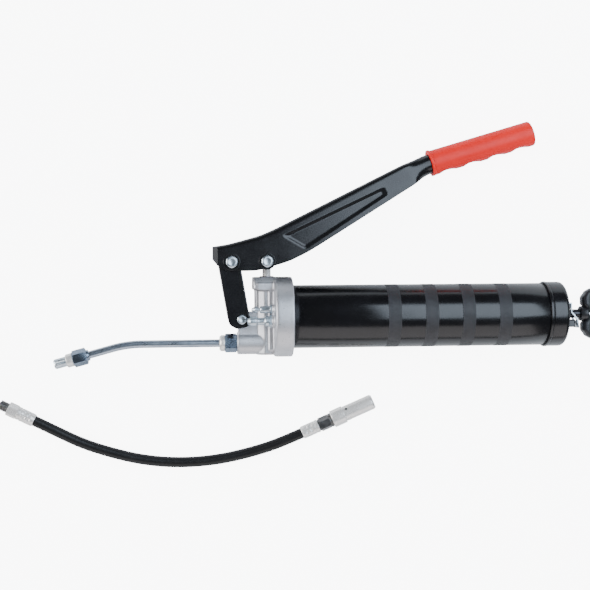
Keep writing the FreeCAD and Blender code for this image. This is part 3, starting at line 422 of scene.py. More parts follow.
def circle(x, y, radius, count, start=0.0):
    """Points round a circle, the first of them start steps past the x axis."""
    angles = [TAU * (step + start) / count for step in range(count)]
    return [(x + radius * math.cos(angle), y + radius * math.sin(angle)) for angle in angles]


def disc(x, y, radius, low, high, inset=0.0, count=64):
    """A round boss along z."""
    return slab(circle(x, y, radius, count), low, high, inset)


def joined(*shapes):
    """Several shapes as one."""
    points, faces = [], []
    for shape_points, shape_faces in shapes:
        start = len(points)
        points += shape_points
        faces += [tuple(start + corner for corner in face) for face in shape_faces]
    return points, faces


def shifted(shape, matrix):
    """A shape moved by a matrix."""
    return [matrix @ point for point in shape[0]], shape[1]


def at(spot, turn):
    """A local frame at a spot in the gun's, turned by a quaternion."""
    return Matrix.Translation(spot) @ turn.to_matrix().to_4x4()


def hexagonal(flats, softness):
    """The radius of a hexagon with slightly rounded corners, as a function of the angle."""
    def reach(angle):
        sides = (max(0.0, math.cos(angle - TAU * (side + 0.5) / 6)) for side in range(6))
        return flats / 2 * sum(side ** softness for side in sides) ** (-1 / softness)
    return reach


def hex_prism(flats, start, end, bevels=(True, True), softness=44):
    """Profile entries of a hexagon along x, its corners turned off at 30 degrees."""
    reach = hexagonal(flats, softness)
    land = 0.475 * flats
    slope = math.tan(math.radians(30))
    side = math.copysign(1, end - start)

    def edge(x, inwards, bevelled):
        if not bevelled:
            return lambda angle: (x, reach(angle))
        return lambda angle: (x + inwards * (reach(angle) - land) * slope, reach(angle))

    return [(start, land), edge(start, side, bevels[0]), edge(end, -side, bevels[1]), (end, land)]


def threaded(start, end, outer, pitch, depth):
    """Profile entries of a screw thread along x, fading out at both ends."""
    def ring(x):
        ends = min(1.0, abs(x - start) / pitch, abs(end - x) / pitch)

        def spot(angle):
            phase = (x / pitch - angle / TAU) % 1
            return x, outer - depth * (1 - abs(2 * phase - 1)) * ends - depth * 0.6 * (1 - ends)
        return spot

    steps = max(8, round(abs(end - start) / pitch * 8))
    return [ring(start + (end - start) * step / steps) for step in range(steps + 1)]


# ---- pieces

def finished(work):
    """The mesh of a bmesh, which is freed."""
    mesh = bpy.data.meshes.new("mesh")
    work.to_mesh(mesh)
    work.free()
    return mesh


def as_mesh(shape, matrix):
    """A welded mesh in the row frame with its faces turned outwards."""
    points, faces = shape
    work = bmesh.new()
    corners = [work.verts.new(matrix @ Vector(point)) for point in points]
    for face in faces:
        if len(set(face)) > 2:
            work.faces.new([corners[corner] for corner in face])
    bmesh.ops.remove_doubles(work, verts=work.verts, dist=2e-6)
    bmesh.ops.recalc_face_normals(work, faces=work.faces)
    return finished(work)


def smooth(mesh, sharp):
    """Shade a mesh smooth, with creases where its faces meet by more than sharp degrees."""
    mesh.polygons.foreach_set("use_smooth", [True] * len(mesh.polygons))
    mesh.set_sharp_from_angle(angle=math.radians(sharp))


def piece(name, shape, body, material, replaces=(), matrix=GUN, sharp=32):
    """Make a piece from a shape, give it its material and set it on its body."""
    mesh = as_mesh(shape, matrix)
    smooth(mesh, sharp)
    return set_piece(name, mesh, body, material, replaces)


def set_piece(name, mesh, body, material, replaces=()):
    """Put a finished mesh in the scene as a piece, on its body and in place of its nodes."""
    item = placed(name, mesh)
    mesh.name = name
    mesh.materials.clear()
    mesh.materials.append(M[material])
    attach(item, body)
    if replaces:
        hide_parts(*replaces)
    return item


def evaluated(data, *modifiers):
    """The mesh of a mesh or curve after modifiers, each given as (type, settings)."""
    item = placed("work", data)
    for kind, settings in modifiers:
        made = item.modifiers.new(kind.lower(), kind)
        for key, value in settings.items():
            setattr(made, key, value)
    graph = bpy.context.evaluated_depsgraph_get()
    graph.update()
    result = bpy.data.meshes.new_from_object(item.evaluated_get(graph))
    bpy.data.objects.remove(item)
    return result


# ---- barrel and rear cap

BARREL = {"front": -10.5, "rear": 239.5, "radius": 28.5, "bore": 27.3}
BANDS = {"first": 84.2, "pitch": 33.5, "width": 11.5, "count": 4}
KNURL = {"starts": 80, "pitch": 1.8, "step": 0.3, "proud": 0.2, "depth": 0.28}
CAP = {"front": 231.5, "rear": 249.5, "radius": 29.6, "rim": 29.95, "bore": 28.55, "hole": 4.2}
LUG = ((248.6, -12.4, -5), (261.0, -5.4, 5))


def knurled(x):
    """One ring of diamond knurling: pyramids between two crossing sets of grooves."""
    def spot(angle):
        around = angle / TAU * KNURL["starts"]
        along = x / KNURL["pitch"]
        first = abs(2 * ((along + around) % 1) - 1)
        second = abs(2 * ((along - around) % 1) - 1)
        height = KNURL["depth"] * (min(first, second) - 1) + KNURL["proud"]
        return x, BARREL["radius"] + height
    return spot


def make_barrel():
    """The barrel's tube, its ends broken and its bands knurled."""
    front, rear, radius, bore = BARREL.values()
    rows = round(BANDS["width"] / KNURL["step"])
    profile = [(front, radius - 0.4), (front + 0.4, radius)]
    for band in range(BANDS["count"]):
        start = BANDS["first"] + band * BANDS["pitch"]
        end = start + BANDS["width"]
        profile += [(start - 0.6, radius), (start - 0.1, radius)]
        profile += [knurled(start + row * KNURL["step"]) for row in range(rows + 1)]
        profile += [(end + 0.1, radius), (end + 0.6, radius)]
    profile += [(rear - 0.3, radius), (rear, radius - 0.3), (rear, bore), (front, bore)]
    tube = piece("barrel_tube", turned(profile, KNURL["starts"] * 6, "joined"), "gun",
                 "gloss_black", ["barrel"], sharp=60)
    colour_bands(tube.data, radius - 0.3)


def colour_bands(mesh, inner):
    """Give the knurl's material to the outer faces of the barrel's bands."""
    mesh.materials.append(M["knurl"])
    to_gun = GUN.inverted()
    for face in mesh.polygons:
        spot = to_gun @ face.center
        past_first = spot.x - BANDS["first"]
        in_bands = -0.2 < past_first < BANDS["pitch"] * BANDS["count"]
        in_band = in_bands and past_first % BANDS["pitch"] < BANDS["width"]
        if in_band and math.hypot(spot.y, spot.z) > inner:
            face.material_index = 1


def make_rear_cap():
    """The cap: a rolled rim, a groove behind it, a round shoulder and a dished end."""
    front, rear, radius, rim, bore, hole = CAP.values()
    outline = softened([
        (front, bore), (front, rim, 0.7), (front + 2.1, rim, 0.7), (front + 2.8, 29.35, 0.3),
        (front + 3.8, radius, 0.4), (rear, radius, 9.0), (rear, 19.0, 0.6),
        (rear - 0.8, 17.5, 0.8), (rear - 0.8, 8.0, 0.8), (rear + 0.2, 7.0, 0.6),
        (rear + 0.2, hole, 0.2), (rear - 1.5, hole), (rear - 1.5, 19.0),
        (rear - 8.5, 27.4), (rear - 9.9, bore),
    ], steps=8)
    piece("rear_cap_shell", joined(turned(outline, 128, "joined"), box(*LUG, 0.9)), "gun",
          "gloss_black", ["rear_cap"])


# The handle's front, as how far out from the rod and how far along it.
HANDLE_FRONT = [(0, 271.5), (4.5, 271.5), (9.5, 268), (14.5, 268), (19.5, 270.5), (23.6, 273.5)]
HANDLE = {"half": 23.6, "back": 285.5, "depth": 8.0, "ledge": 276.0}


def interpolate(table, value):
    """A value read off a table of (position, value) pairs, eased between them."""
    for (start, low), (end, high) in zip(table, table[1:]):
        if value <= end:
            t = (value - start) / (end - start)
            return low + (high - low) * t * t * (3 - 2 * t)
    return table[-1][1]


def handle_section(y, front, back, end_cut):
    """A squarish ring across the handle, slimmer ahead of its ledge."""
    row = []
    for c, s in circle(0, 0, 1, 56):
        x = (front + back) / 2 + (back - front) / 2 * end_cut * math.copysign(abs(c) ** 0.5, c)
        z = HANDLE["depth"] * end_cut * math.copysign(abs(s) ** 0.5, s)
        ahead = min(1.0, max(0.0, (HANDLE["ledge"] - x) / 0.8))
        row.append((x, y, z * (1 - 0.12 * ahead)))
    return row


def make_handle():
    """The T-handle: a moulded bar with finger bulges either side of the rod."""
    rows = []
    steps = 72
    for step in range(steps + 1):
        share = -math.cos(math.pi * step / steps)
        end_cut = math.sqrt(max(0.0, 1 - abs(share) ** 9))
        y = HANDLE["half"] * share
        front = interpolate(HANDLE_FRONT, abs(y))
        back = HANDLE["back"] - 1.5 * abs(share) ** 2
        rows.append(handle_section(y, front, back, end_cut))
    socket = turned([(266.5, 4.1), (266.5, 6.2), (267.1, 6.8), (273, 7.2), (273, 4.1)], 48, "joined")
    piece("t_handle_bar", joined(lofted(rows, ends="capped"), socket), "rod", "plastic",
          ["t_handle"], sharp=50)


# ---- pump head

# The outlet's axis and its boss's face, and where the two fittings sit.
OUTLET_Y, OUTLET_X = -23.2, -49.9
FILLER = (-17, -3.6, 19.5)
BLEEDER = (-17, 6.8, 18.0)


def upright_parts():
    """The head's deck, the pump's boss and the pads round it, drawn across and stood on end."""
    side = [(25, 12.5), (28.4, 12.5), (32.2, 11.0), (36.1, 8.2)]
    side += [(y, -z) for y, z in reversed(side)]
    deck = lofted([[(x, y, z * share) for y, z in side]
                   for x, share in ((-35.5, 0.86), (-34.0, 1), (-3.6, 1))], ends="capped")
    boss = prism(circle(-22.6, 0, 10.9, 12, 0.5), [(-34, 1.2), (-32.8, 0), (31, 0)])
    pads = [
        box((-31.5, -12.9, 24.0), (-13.5, 12.9, 30.5)),
        box((-21.4, -11.6, -30.0), (-18.2, 11.6, 26.0)),
        box((-22.6, -8, -34), (-15, 8, 31)),
        box((-33.8, -5.0, -32.0), (-28, 5.0, 25.5)),
    ]
    upright = Matrix.Rotation(math.radians(-90), 4, "X")
    return [deck, *[shifted(shape, upright) for shape in (boss, *pads)]]


def seat(fitting, front, radius):
    """The cast collar round a fitting's foot."""
    profile = [(front, 0), (front, radius), (-15, radius + 1.2), (-15, 0)]
    return shifted(turned(profile, 48), Matrix.Translation((0, *fitting[1:])))


def head_parts():
    """The casting's parts, which overlap and are melted into one."""
    ring = turned(softened([
        (-17.0, 0), (-17.0, 36.1, 3.0), (-0.6, 36.1, 1.0), (0, 35.3, 0.5), (0, 28.65),
        (-13.0, 28.65), (-13.0, 0),
    ], 0.4), 160)
    outlet = turned([(OUTLET_X, 0), (OUTLET_X, 9.3), (OUTLET_X + 1, 10.3), (-22, 10.3), (-22, 0)], 64)
    lug_plan = [(-45.6, 5.0), (-22.6, 5.0), (-22.6, -19), (-48.9, -19), (-48.9, -11), (-52.6, -2)]
    return [
        ring, *upright_parts(), shifted(outlet, Matrix.Translation((0, OUTLET_Y, 0))),
        slab(lug_plan, -7, 7), disc(BASE.x, BASE.y, 7.0, -7, 7),
        seat(FILLER, -20, 5.4), seat(BLEEDER, -19.4, 4.2),
    ]


def make_head():
    """The head's parts melted together by a fine remesh, so that its corners have fillets."""
    mesh = melted(joined(*head_parts()), 0.6, 7)
    set_piece("head_body", mesh, "gun", "cast", ["head_casting"])


def melted(shape, voxel_mm, passes):
    """Overlapping solids melted into one, with a fillet where they meet."""
    mesh = evaluated(
        as_mesh(shape, GUN),
        ("REMESH", {"mode": "VOXEL", "voxel_size": voxel_mm * MM}),
        ("SMOOTH", {"factor": 0.5, "iterations": passes}),
    )
    smooth(mesh, 180)
    return mesh


# ---- lever, grip and pivots

# Crown and lower edge of the lever's side, paired along it, with its half width.
LEVER_STATIONS = [
    ((-71.2, 63.4), (-71.2, 52.3), 12.0),
    ((-68.4, 63.8), (-68.6, 49.2), 12.0),
    ((-62.3, 64.7), (-62.3, 41.9), 12.0),
    ((-57.0, 65.6), (-56.5, 41.7), 12.0),
    ((-43.0, 69.3), (-43.5, 41.7), 12.0),
    ((-29.4, 73.0), (-30.5, 41.9), 12.0),
    ((-20.5, 76.7), (-18.7, 45.1), 12.0),
    ((-12.0, 80.6), (-2.5, 49.7), 12.0),
    ((0.5, 86.8), (13.0, 57.2), 11.9),
    ((12.0, 92.5), (26.5, 65.2), 11.7),
    ((98.0, 135.1), (111.0, 117.9), 10.4),
    ((113.0, 142.1), (120.0, 124.0), 10.0),
    ((121.2, 145.6), (126.3, 128.3), 9.6),
    ((125.0, 146.7), (130.2, 129.5), 9.2),
    ((140.0, 151.2), (145.1, 133.9), 9.0),
]
LEVER_WALL = 1.8
LEVER_STEP = 0.9
EASING_PASSES = 28
# The closed front: where it starts, how long it takes to widen, and its first width's share.
LEVER_FRONT = {"x": -71.2, "length": 4.4, "share": 0.55}
# The pressed panel's corners, its depth and how wide its sloped wall is.
PRESSING = [Vector(spot) for spot in ((-8.4, 72.6), (11.8, 60.8), (86.3, 109.0), (83.3, 115.9))]
PRESS_DEPTH = 1.15
PRESS_WALL = 2.8
# Where the channel turns into the tube under the grip, and the tube's radius.
TUBE_BLEND = (100.0, 122.0)
TUBE_RADIUS = 9.0


def pressed(x, y):
    """How deep a lever's side is pressed in at a point, from 0 to 1."""
    spot = Vector((x, y))
    softness = 0.8
    total = 0.0
    for here, after in zip(PRESSING, PRESSING[1:] + PRESSING[:1]):
        side = (after - here).normalized()
        inside = side.cross(spot - here)
        total += math.exp(-max(min(inside, 30), -30) / softness)
    distance = -softness * math.log(total)
    return min(1.0, max(0.0, (distance + 0.4) / PRESS_WALL))


def channel_run(height, half):
    """Points (depth below the crown, z) from one lower edge of an inverted U to the other."""
    side_points, corner_points, top_points = 44, 9, 7
    corner = min(5.0, 0.45 * height, 0.45 * half)
    run = [(height - (height - corner) * k / side_points, half) for k in range(side_points)]
    for k in range(corner_points):
        a = math.radians(90) * k / (corner_points - 1)
        run.append((corner * (1 - math.sin(a)), half - corner * (1 - math.cos(a))))
    edge = half - corner
    run += [(0.0, edge - 2 * edge * (k + 1) / (top_points + 1)) for k in range(top_points)]
    return run + [(d, -z) for d, z in reversed(run[:side_points + corner_points])]


def lever_section(crown, foot, half, blend, width):
    """One cross-section: an inverted U that turns into a tube as blend goes to 1."""
    crown, foot = Vector((*crown, 0)), Vector((*foot, 0))
    middle = (crown + foot) / 2
    down = (foot - crown).normalized()
    run = channel_run((foot - crown).length, half)
    row = []
    for index, (d, z) in enumerate(run):
        flat = crown + down * d + Vector((0, 0, z * width))
        angle = TAU * (index + 0.5) / len(run)
        on_tube = middle + down * TUBE_RADIUS * math.cos(angle)
        on_tube.z = TUBE_RADIUS * math.sin(angle)
        spot = flat.lerp(on_tube, blend)
        if abs(z) > half - 0.01 and blend < 1:
            spot.z -= math.copysign(PRESS_DEPTH * pressed(spot.x, spot.y) * (1 - blend), spot.z)
        row.append(spot)
    return row


def lever_stations():
    """The stations filled in to about LEVER_STEP apart."""
    stations = [(Vector(crown), Vector(foot), half) for crown, foot, half in LEVER_STATIONS]
    dense = []
    for (c0, f0, h0), (c1, f1, h1) in zip(stations, stations[1:]):
        length = max((c1 - c0).length, (f1 - f0).length)
        steps = max(2, round(length / LEVER_STEP))
        for step in range(steps):
            t = step / steps
            dense.append((c0.lerp(c1, t), f0.lerp(f1, t), h0 + (h1 - h0) * t))
    return dense + [stations[-1]]


def eased_once(stations):
    """Each station drawn towards its neighbours' mean, but for those at the ends."""
    eased = list(stations)
    for index in range(2, len(stations) - 1):
        around = zip(stations[index - 1], stations[index], stations[index + 1])
        eased[index] = [here * 0.5 + (before + after) * 0.25 for before, here, after in around]
    return eased


def lever_rows():
    """The lever's cross-sections, eased where the outline turns."""
    stations = lever_stations()
    for _ in range(EASING_PASSES):
        stations = eased_once(stations)
    rows = []
    first, last = TUBE_BLEND
    for crown, foot, half in stations:
        t = min(1.0, max(0.0, (crown.x - first) / (last - first)))
        widened = min(1.0, (crown.x - LEVER_FRONT["x"]) / LEVER_FRONT["length"])
        width = LEVER_FRONT["share"] + (1 - LEVER_FRONT["share"]) * widened
        rows.append(lever_section(crown, foot, half, t * t * (3 - 2 * t), width))
    return rows


def make_lever():
    """The pressed channel with its closed front, thickened inwards, and its pivot bosses."""
    rows = lever_rows()
    points, faces = lofted(rows, around=False)
    faces.append(tuple(range(len(rows[0]))))
    skin = as_mesh((points, faces), GUN)
    channel = evaluated(skin, ("SOLIDIFY", {"thickness": LEVER_WALL * MM, "offset": -1.0}))
    bosses = [disc(pivot.x, pivot.y, 7.4, low, high)
              for pivot in (TOP, EYE) for low, high in ((10.6, 12.15), (-12.15, -10.6))]
    work = bmesh.new()
    work.from_mesh(channel)
    work.from_mesh(as_mesh(joined(*bosses), GUN))
    mesh = finished(work)
    smooth(mesh, 40)
    set_piece("lever_channel", mesh, "lever", "satin_black", ["lever"])


GRIP_LENGTH = 99.5
GRIP_RADIUS = 11.65
GRIP_BORE = {"radius": 9.05, "depth": 86}
VALLEYS = {"first": 15.0, "pitch": 23.3, "count": 4, "half": 8.6, "depth": 2.0}


def valley(x):
    """How far the grip's underside is scooped at x: four finger valleys."""
    nearest = min(abs(x - VALLEYS["first"] - k * VALLEYS["pitch"]) for k in range(VALLEYS["count"]))
    share = min(1.0, nearest / VALLEYS["half"])
    return VALLEYS["depth"] * (1 - share ** 2.4)


def make_grip():
    """The red moulding: a thin flange, finger valleys below and a lipped, rounded end."""
    profile = softened([
        (0, GRIP_BORE["radius"]), (0, 12.6, 0.5), (1.9, 12.6, 0.6), (2.5, GRIP_RADIUS, 0.8),
    ], 0.5, steps=5)
    profile += [(x, GRIP_RADIUS) for x in range(4, 94)]
    profile += softened([
        (94, GRIP_RADIUS), (GRIP_LENGTH - 0.4, GRIP_RADIUS, 5.2), (GRIP_LENGTH - 0.4, 6.6, 0.5),
        (GRIP_LENGTH, 5.9, 0.5), (GRIP_LENGTH, 0.01),
    ], 0.5, steps=7)
    profile += [(GRIP_BORE["depth"], 0.01), (GRIP_BORE["depth"], GRIP_BORE["radius"])]
    rows = []
    for x, radius in profile:
        floor = valley(x) - GRIP_RADIUS
        outer = radius > GRIP_RADIUS - 4
        rows.append([(x, eased_floor(y, floor) if outer else y, z)
                     for y, z in circle(0, 0, radius, 112)])
    turn = Matrix.Translation(GRIP) @ Matrix.Rotation(GRIP_ANGLE, 4, "Z")
    piece("grip_moulding", shifted(lofted(rows, ends="joined"), turn), "lever", "red",
          ["lever_grip"], sharp=50)


def eased_floor(value, floor):
    """The value, held above the floor with a soft corner."""
    softness = 0.5
    gap = (value - floor) / softness
    if gap > 12:
        return value
    return floor + softness * math.log(1 + math.exp(gap))


def bolt_head(flats, height):
    """A formed hexagon head along x: turned corners and a shallow dished top."""
    profile = [(0, 0), *hex_prism(flats, 0.01, height - 0.5, (False, True), softness=9)]
    profile += [(height - 0.1, flats * 0.42), (height, flats * 0.34), (height - 0.25, flats * 0.24),
                (height - 0.5, flats * 0.1), (height - 0.5, 0)]
    return turned(profile, 96)


def nut(flats, height, bolt_radius):
    """A nut along x with its bolt's threaded end standing out of it."""
    body = turned([(0, 0), *hex_prism(flats, 0.01, height), (height, bolt_radius + 0.3),
                   (height - 0.4, bolt_radius - 0.1), (height - 0.4, 0)], 96)
    end = turned([(height - 1, 0), *threaded(height - 1, height + 0.8, bolt_radius, 0.8, 0.35),
                  (height + 1.0, bolt_radius - 0.6), (height + 1.0, 0)], 48)
    return joined(body, end)


# Turns that lay a shape's x axis along z, outwards or inwards, or back along x.
OUT_Z = Quaternion((0, 1, 0), math.radians(-90))
IN_Z = Quaternion((0, 1, 0), math.radians(90))
BACK = Quaternion((0, 0, 1), math.pi)


def make_pivots():
    """The bolts' heads and shanks, and their nuts on the far side."""
    for name, spot, flats, height, radius, half, nut_height, body, nodes in (
        ("top", TOP, 10.0, 4.0, 3.0, 12.0, 5.5, "lever", ("lever_bolts", "lever_nuts")),
        ("eye", EYE, 10.0, 4.0, 3.0, 12.0, 5.5, "lever", ()),
        ("base", BASE, 8.0, 3.5, 2.5, 9.5, 4.5, "link", ("link_base_bolt", "link_base_nut")),
    ):
        head = shifted(bolt_head(flats, height), at((spot.x, spot.y, half), OUT_Z))
        shank = disc(spot.x, spot.y, radius - 0.02, -half - 1, half + 0.5)
        far = shifted(nut(flats, nut_height, radius), at((spot.x, spot.y, -half), IN_Z))
        piece(f"{name}_pivot_bolt", joined(head, shank), body, "zinc", nodes[:1])
        piece(f"{name}_pivot_nut", far, body, "zinc", nodes[1:])


def make_link():
    """The link: two side plates with round ends, folded from one web along the front."""
    run = TOP - BASE
    length = run.length
    lean = Matrix.Translation(BASE) @ Matrix.Rotation(math.atan2(-run.x, run.y), 4, "Z")
    side = softened([
        (-12.0, 4, 4), (-11.4, -3.4, 6), (-6.0, -7.6, 6), (4.4, -7.6, 6), (7.4, -2, 5),
        (7.4, length + 3.6, 4), (3.4, length + 7.4, 4), (-5, length + 7.4, 4),
        (-12.0, length - 1, 4),
    ], 4, closed=True, steps=6)
    half, wall = 9.5, 2.2
    plates = [slab(side, half - wall, half, 0.35), slab(side, -half, wall - half, 0.35)]
    section = softened([(-6, half), (-12, half, 2), (-12, -half, 2), (-6, -half),
                        (-6, wall - half), (-12 + wall, wall - half, 0.5),
                        (-12 + wall, half - wall, 0.5), (-6, half - wall)], 0, closed=True)
    web = lofted([[(x, y, z) for x, z in section] for y in (4.0, length - 3.0)], ends="capped")
    shape = shifted(joined(*plates, web), lean)
    set_piece("link_channel", melted(shape, 0.4, 3), "link", "satin_black", ["link"])


# ---- fittings on the head and the outlet

def make_fittings():
    """The filler nipple and bleeder on the head's front, and the outlet nut and its collar."""
    filler = turned([
        (-1, 0), (-1, 3.3), *hex_prism(10, 0, 5), (5.01, 4.2),
        *softened([(5.4, 4.6), (8, 4.6, 0.5), (9.5, 3.1, 0.5), (15, 3.1, 0.5), (16.5, 4.3, 0.5),
                   (21.5, 4.3, 0.8), (24, 2.6, 0.6), (24, 1.3, 0.2), (23.2, 1.2)]),
        (23.2, 0)], 96)
    piece("filler_body", shifted(filler, at(FILLER, BACK)), "gun", "zinc",
          ["filler_nipple"])
    bleeder = turned([
        (-1, 0), (-1, 2.4), *hex_prism(7, 0, 4),
        *softened([(4.2, 3.2), (12, 3.2, 0.4), (13, 2.4, 0.3), (13, 1.6)]), (11, 1.6),
        (11, 0)], 96)
    piece("bleeder_screw", shifted(bleeder, at(BLEEDER, BACK)), "gun", "zinc",
          ["bleeder_body"])
    hexagon = turned([(0, 3.6), *hex_prism(15, 0, 11), (11, 3.6)], 96, "joined")
    front = at((OUTLET_X, OUTLET_Y, 0), BACK)
    piece("outlet_hexagon", shifted(hexagon, front), "gun", "blue_zinc", ["outlet_nut"])
    collar = turned(softened([(11.05, 3.6), (11.05, 7.2, 0.4), (12.0, 7.3, 0.4), (14.2, 7.3, 0.8),
                              (15.7, 6, 0.4), (15.7, 3.6)]), 96, "joined")
    piece("outlet_collar", shifted(collar, front), "gun", "plate", ["pipe_collar"])


PIPE = {"radius": 3.5, "bore": 1.8, "start": -42.2, "elbow": -148.0, "bend": 100.0,
        "angle": math.radians(15), "tail": 29.6}


def make_pipe():
    """The outlet pipe: straight, one slow bend, and straight on into the coupler."""
    reach = PIPE["bend"] * math.tan(PIPE["angle"] / 2)
    middle = Vector((PIPE["elbow"] + reach, OUTLET_Y - PIPE["bend"]))
    centres = [(Vector((PIPE["start"], OUTLET_Y)), 0.0)]
    steps = 16
    for step in range(steps + 1):
        angle = PIPE["angle"] * step / steps
        out = Vector((-math.sin(angle), math.cos(angle)))
        centres.append((middle + out * PIPE["bend"], angle))
    run = Vector((-math.cos(PIPE["angle"]), -math.sin(PIPE["angle"])))
    centres.append((centres[-1][0] + run * PIPE["tail"], PIPE["angle"]))
    sides = [(spot, angle, PIPE["radius"]) for spot, angle in centres]
    sides += [(spot, angle, PIPE["bore"]) for spot, angle in reversed(centres)]
    rows = [[(spot.x - across * math.sin(angle), spot.y + across * math.cos(angle), z)
             for across, z in circle(0, 0, radius, 48)]
            for spot, angle, radius in sides]
    piece("outlet_pipe", lofted(rows, ends="joined"), "gun", "dull_zinc",
          ["delivery_pipe"])


def refined(name, body, material, width_mm):
    """A CAD piece with its edges rounded and its faces smoothed."""
    work = bmesh.new()
    work.from_mesh(frame["nodes"][name].data)
    bmesh.ops.remove_doubles(work, verts=work.verts, dist=3e-6)
    bmesh.ops.dissolve_limit(work, angle_limit=math.radians(0.7), verts=work.verts,
                             edges=work.edges)
    bevel = {"width": width_mm * MM, "segments": 2, "limit_method": "ANGLE",
             "angle_limit": math.radians(30)}
    mesh = evaluated(finished(work), ("BEVEL", bevel))
    smooth(mesh, 35)
    set_piece(f"{name}_finished", mesh, body, material, [name])


def make_refined():
    """Copies of the CAD pieces that need only their edges rounded."""
    for name, body, material, slot, width in (
        ("pipe_coupler_socket", "gun", "blue_zinc", "coupler_steel", 0.25),
        ("pipe_coupler_sleeve", "gun", "plate", "coupler_steel", 0.2),
        ("pipe_coupler_jaws", "gun", "zinc", "coupler_steel", 0.2),
        ("rod_lock_plate", "rod_lock", "zinc", "zinc", 0.2),
        ("plunger", "plunger", "plate", "ground_steel", 0.4),
    ):
        refined(name, body, material, width)


# ---- hose

# Points from ferrule mouth to ferrule mouth, in metres in the row frame.
HOSE_ROUTE = [
    (-0.2740, -0.1650, 0.0061),
    (-0.2575, -0.1734, 0.0061),
    (-0.2306, -0.1874, 0.0051),
    (-0.2048, -0.1962, 0.0051),
    (-0.1789, -0.2030, 0.0051),
    (-0.1529, -0.2065, 0.0051),
    (-0.1267, -0.2068, 0.0051),
    (-0.1004, -0.2041, 0.0051),
    (-0.0740, -0.1982, 0.0052),
    (-0.0476, -0.1895, 0.0081),
    (-0.0250, -0.1795, 0.0081),
]
HOSE_DIAMETER = 0.010
FERRULE_LENGTH = 17.0
WRAP_PITCH = 0.0068
WRAP_HEIGHT = 0.00009


def route_points():
    """The hose's centreline: close points along the smooth NURBS line of its route."""
    curve = bpy.data.curves.new("hose_line", "CURVE")
    curve.dimensions = "3D"
    curve.resolution_u = 24
    spline = curve.splines.new("NURBS")
    spline.points.add(len(HOSE_ROUTE) - 1)
    for point, spot in zip(spline.points, HOSE_ROUTE):
        point.co = (*spot, 1)
    spline.order_u = 3
    spline.use_endpoint_u = True
    return [vertex.co.copy() for vertex in evaluated(curve).vertices]


def evenly(points, step):
    """The same line with its points an even step apart."""
    result = [points[0]]
    left = step
    for here, after in zip(points, points[1:]):
        run = (after - here).length
        spot = left
        while spot < run:
            result.append(here.lerp(after, spot / run))
            spot += step
        left = spot - run
    if (points[-1] - result[-1]).length < step * 0.4:
        result.pop()
    return result + [points[-1]]


def hose_ring(here, along, distance):
    """A ring round the hose, with the low ridge of the cloth's spiral where that passes."""
    side = along.cross(Vector((0, 0, 1))).normalized()
    rise = side.cross(along)
    row = []
    for c, s in circle(0, 0, 1, 40):
        phase = (distance / WRAP_PITCH + math.atan2(s, c) / TAU) % 1
        ridge = WRAP_HEIGHT * max(0.0, 1 - abs(phase - 0.5) * 9)
        row.append(here + (side * c + rise * s) * (HOSE_DIAMETER / 2 - WRAP_HEIGHT + ridge))
    return row


def make_hose(centre):
    """The rubber tube, with the low ridges that its curing cloth left round it."""
    rows = []
    distance = 0.0
    for index, here in enumerate(centre):
        before = centre[max(0, index - 1)]
        after = centre[min(len(centre) - 1, index + 1)]
        distance += (here - before).length
        rows.append(hose_ring(here, (after - before).normalized(), distance))
    return piece("hose_rubber", lofted(rows, ends="capped"), "hose", "hose",
                 ["hose_tube"], matrix=Matrix.Identity(4), sharp=50)


def end_frame(end, beside):
    """A frame in mm at the hose's end, its x axis pointing out of the hose, its z axis up."""
    along = (Vector(end) - Vector(beside)).normalized()
    side = Vector((0, 0, 1)).cross(along).normalized()
    up = along.cross(side)
    turn = Matrix((along, side, up)).transposed().to_4x4()
    return Matrix.Translation(end) @ turn @ Matrix.Scale(MM, 4)


def crimped(x, radius, depth):
    """A ring pressed into eight flats."""
    return lambda angle: (x, radius - depth * (0.5 + 0.5 * math.cos(8 * angle)))


def ferrule():
    """A crimped ferrule along x: rolled mouth, two crimped grooves and a plain back."""
    profile = softened([(0, 5.02), (0, 5.7, 0.3), (1.2, 5.95, 0.5), (3.4, 6.0)])
    steps = 7
    for start, end in ((3.6, 6.8), (8.2, 11.4)):
        for step in range(steps + 1):
            x = start + (end - start) * step / steps
            profile.append(crimped(x, 6.05, 0.75 * math.sin(math.pi * step / steps)))
    profile += softened([(12.4, 6.05), (13.0, 6.1), (13.4, 5.7, 0.2), (13.9, 5.7, 0.2), (14.3, 6.1),
                         (FERRULE_LENGTH, 6.1, 0.4), (FERRULE_LENGTH, 1.0), (14, 1.0),
                         (14, 5.02)], 0.2)
    return turned(profile, 96, "joined")


def hose_steel(name, shape, material, nodes, matrix):
    """A steel piece that goes with the hose."""
    return piece(name, shape, "hose", material, nodes, matrix)


def make_hose_ends():
    """Ferrules, the threaded inlet fitting and the parts of the grease coupler."""
    inlet = end_frame(HOSE_ROUTE[0], HOSE_ROUTE[1])
    outlet = end_frame(HOSE_ROUTE[-1], HOSE_ROUTE[-2])
    start = FERRULE_LENGTH
    face, tip = start + 9.5, start + 17.5
    hexagon = turned([(start, 1), *hex_prism(12.0, start + 0.01, face), (face, 1)], 96)
    thread = turned([
        (face - 1, 0), (face - 1, 4.3), *threaded(face, tip - 0.2, 4.85, 0.95, 0.5),
        (tip, 4.2), (tip, 2.2), (tip + 2.2, 2.2), (tip + 2.5, 1.9), (tip + 2.5, 1.2),
        (tip - 3, 1.2), (tip - 3, 0),
    ], 64)
    return [
        hose_steel("ferrule_inlet", ferrule(), "plate", ["hose_ferrules"], inlet),
        hose_steel("ferrule_outlet", ferrule(), "plate", (), outlet),
        hose_steel("inlet_hexagon", hexagon, "plate", ["hose_inlet_fitting"], inlet),
        hose_steel("inlet_thread", thread, "thread", (), inlet),
        *make_hose_coupler(outlet @ Matrix.Translation((start, 0, 0))),
    ]


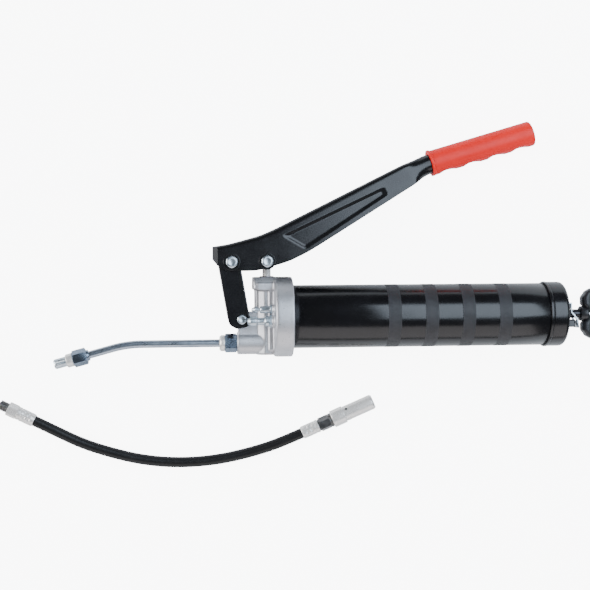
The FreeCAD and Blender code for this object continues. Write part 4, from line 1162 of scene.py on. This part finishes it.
def make_hose_coupler(back):
    """The coupler's hexagon and threaded neck, body sleeve, and pinned nose over its jaws."""
    neck = turned([(0.01, 1), (0.01, 5.0), *hex_prism(12.0, 1.0, 11.5),
                   *threaded(11.5, 14.2, 6.9, 0.9, 0.5), (14.2, 1)], 96)
    body = softened([(14.0, 3.2), (14.0, 7.7), (14.6, 8.15, 0.6), (26.0, 8.15, 0.6), (26.5, 7.6),
                     (26.5, 3.2)], steps=5)
    nose = softened([(26.4, 3.4), (26.4, 6.7), (26.9, 7.1, 0.4), (54.2, 7.1, 0.8), (56.0, 6.0, 0.4),
                     (56.0, 3.35), (46.5, 3.35), (46.5, 3.1), (26.4, 3.1)], steps=5)
    pins = []
    for turn in range(3):
        angle = TAU * turn / 3 + math.radians(75)
        spin = Matrix.Rotation(angle, 4, "X") @ Matrix.Translation((29.6, 0, 0))
        pins.append(shifted(disc(0, 0, 1.3, 6.4, 7.25, 0.25, 32), spin))
    return [
        hose_steel("coupler_neck", neck, "thread", ["hose_coupler_socket"], back),
        hose_steel("coupler_body", turned(body, 96, "joined"), "plate", ["hose_coupler_sleeve"], back),
        hose_steel("coupler_nose", turned(nose, 96, "joined"), "plate", ["hose_coupler_jaws"], back),
        hose_steel("coupler_pins", joined(*pins), "thread", (), back),
    ]


# ---- follower spring


def make_follower_spring():
    """The CAD spring's own mesh, as it stands, in a piece of its own."""
    mesh = frame["nodes"]["follower_spring"].data.copy()
    item = set_piece("follower_coil", mesh, "gun", "spring", ["follower_spring"])
    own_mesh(item)


# ---- the CAD model's own pieces, with their materials

NODE_MATERIALS = {
    "blackened": ["follower_rod"],
    "rubber": ["follower_cup", "head_gasket", "plunger_seal", "pipe_coupler_piston",
               "hose_coupler_piston"],
    "zinc": ["bleeder_stem", "follower_plate", "follower_nut"],
    "ground": ["eye_spacers", "plunger_gland", "outlet_check_ball", "filler_ball",
               "handle_pin"],
    "spring": ["outlet_check_spring", "pipe_coupler_spring", "hose_coupler_spring"],
}


def dress_nodes():
    """Give materials to the CAD nodes that no piece stands in for."""
    for material, names in NODE_MATERIALS.items():
        for name in names:
            for slot in frame["nodes"][name].material_slots:
                slot.material = M[material]


M = make_materials()
make_camera()
make_lights()
make_floor()
HOSE_LINE = evenly(route_points(), 0.0008)
hose = make_hose(HOSE_LINE)
hose_pieces = make_hose_ends()
make_barrel()
make_rear_cap()
make_handle()
make_head()
make_lever()
make_grip()
make_pivots()
make_link()
make_fittings()
make_pipe()
make_refined()
make_follower_spring()
dress_nodes()
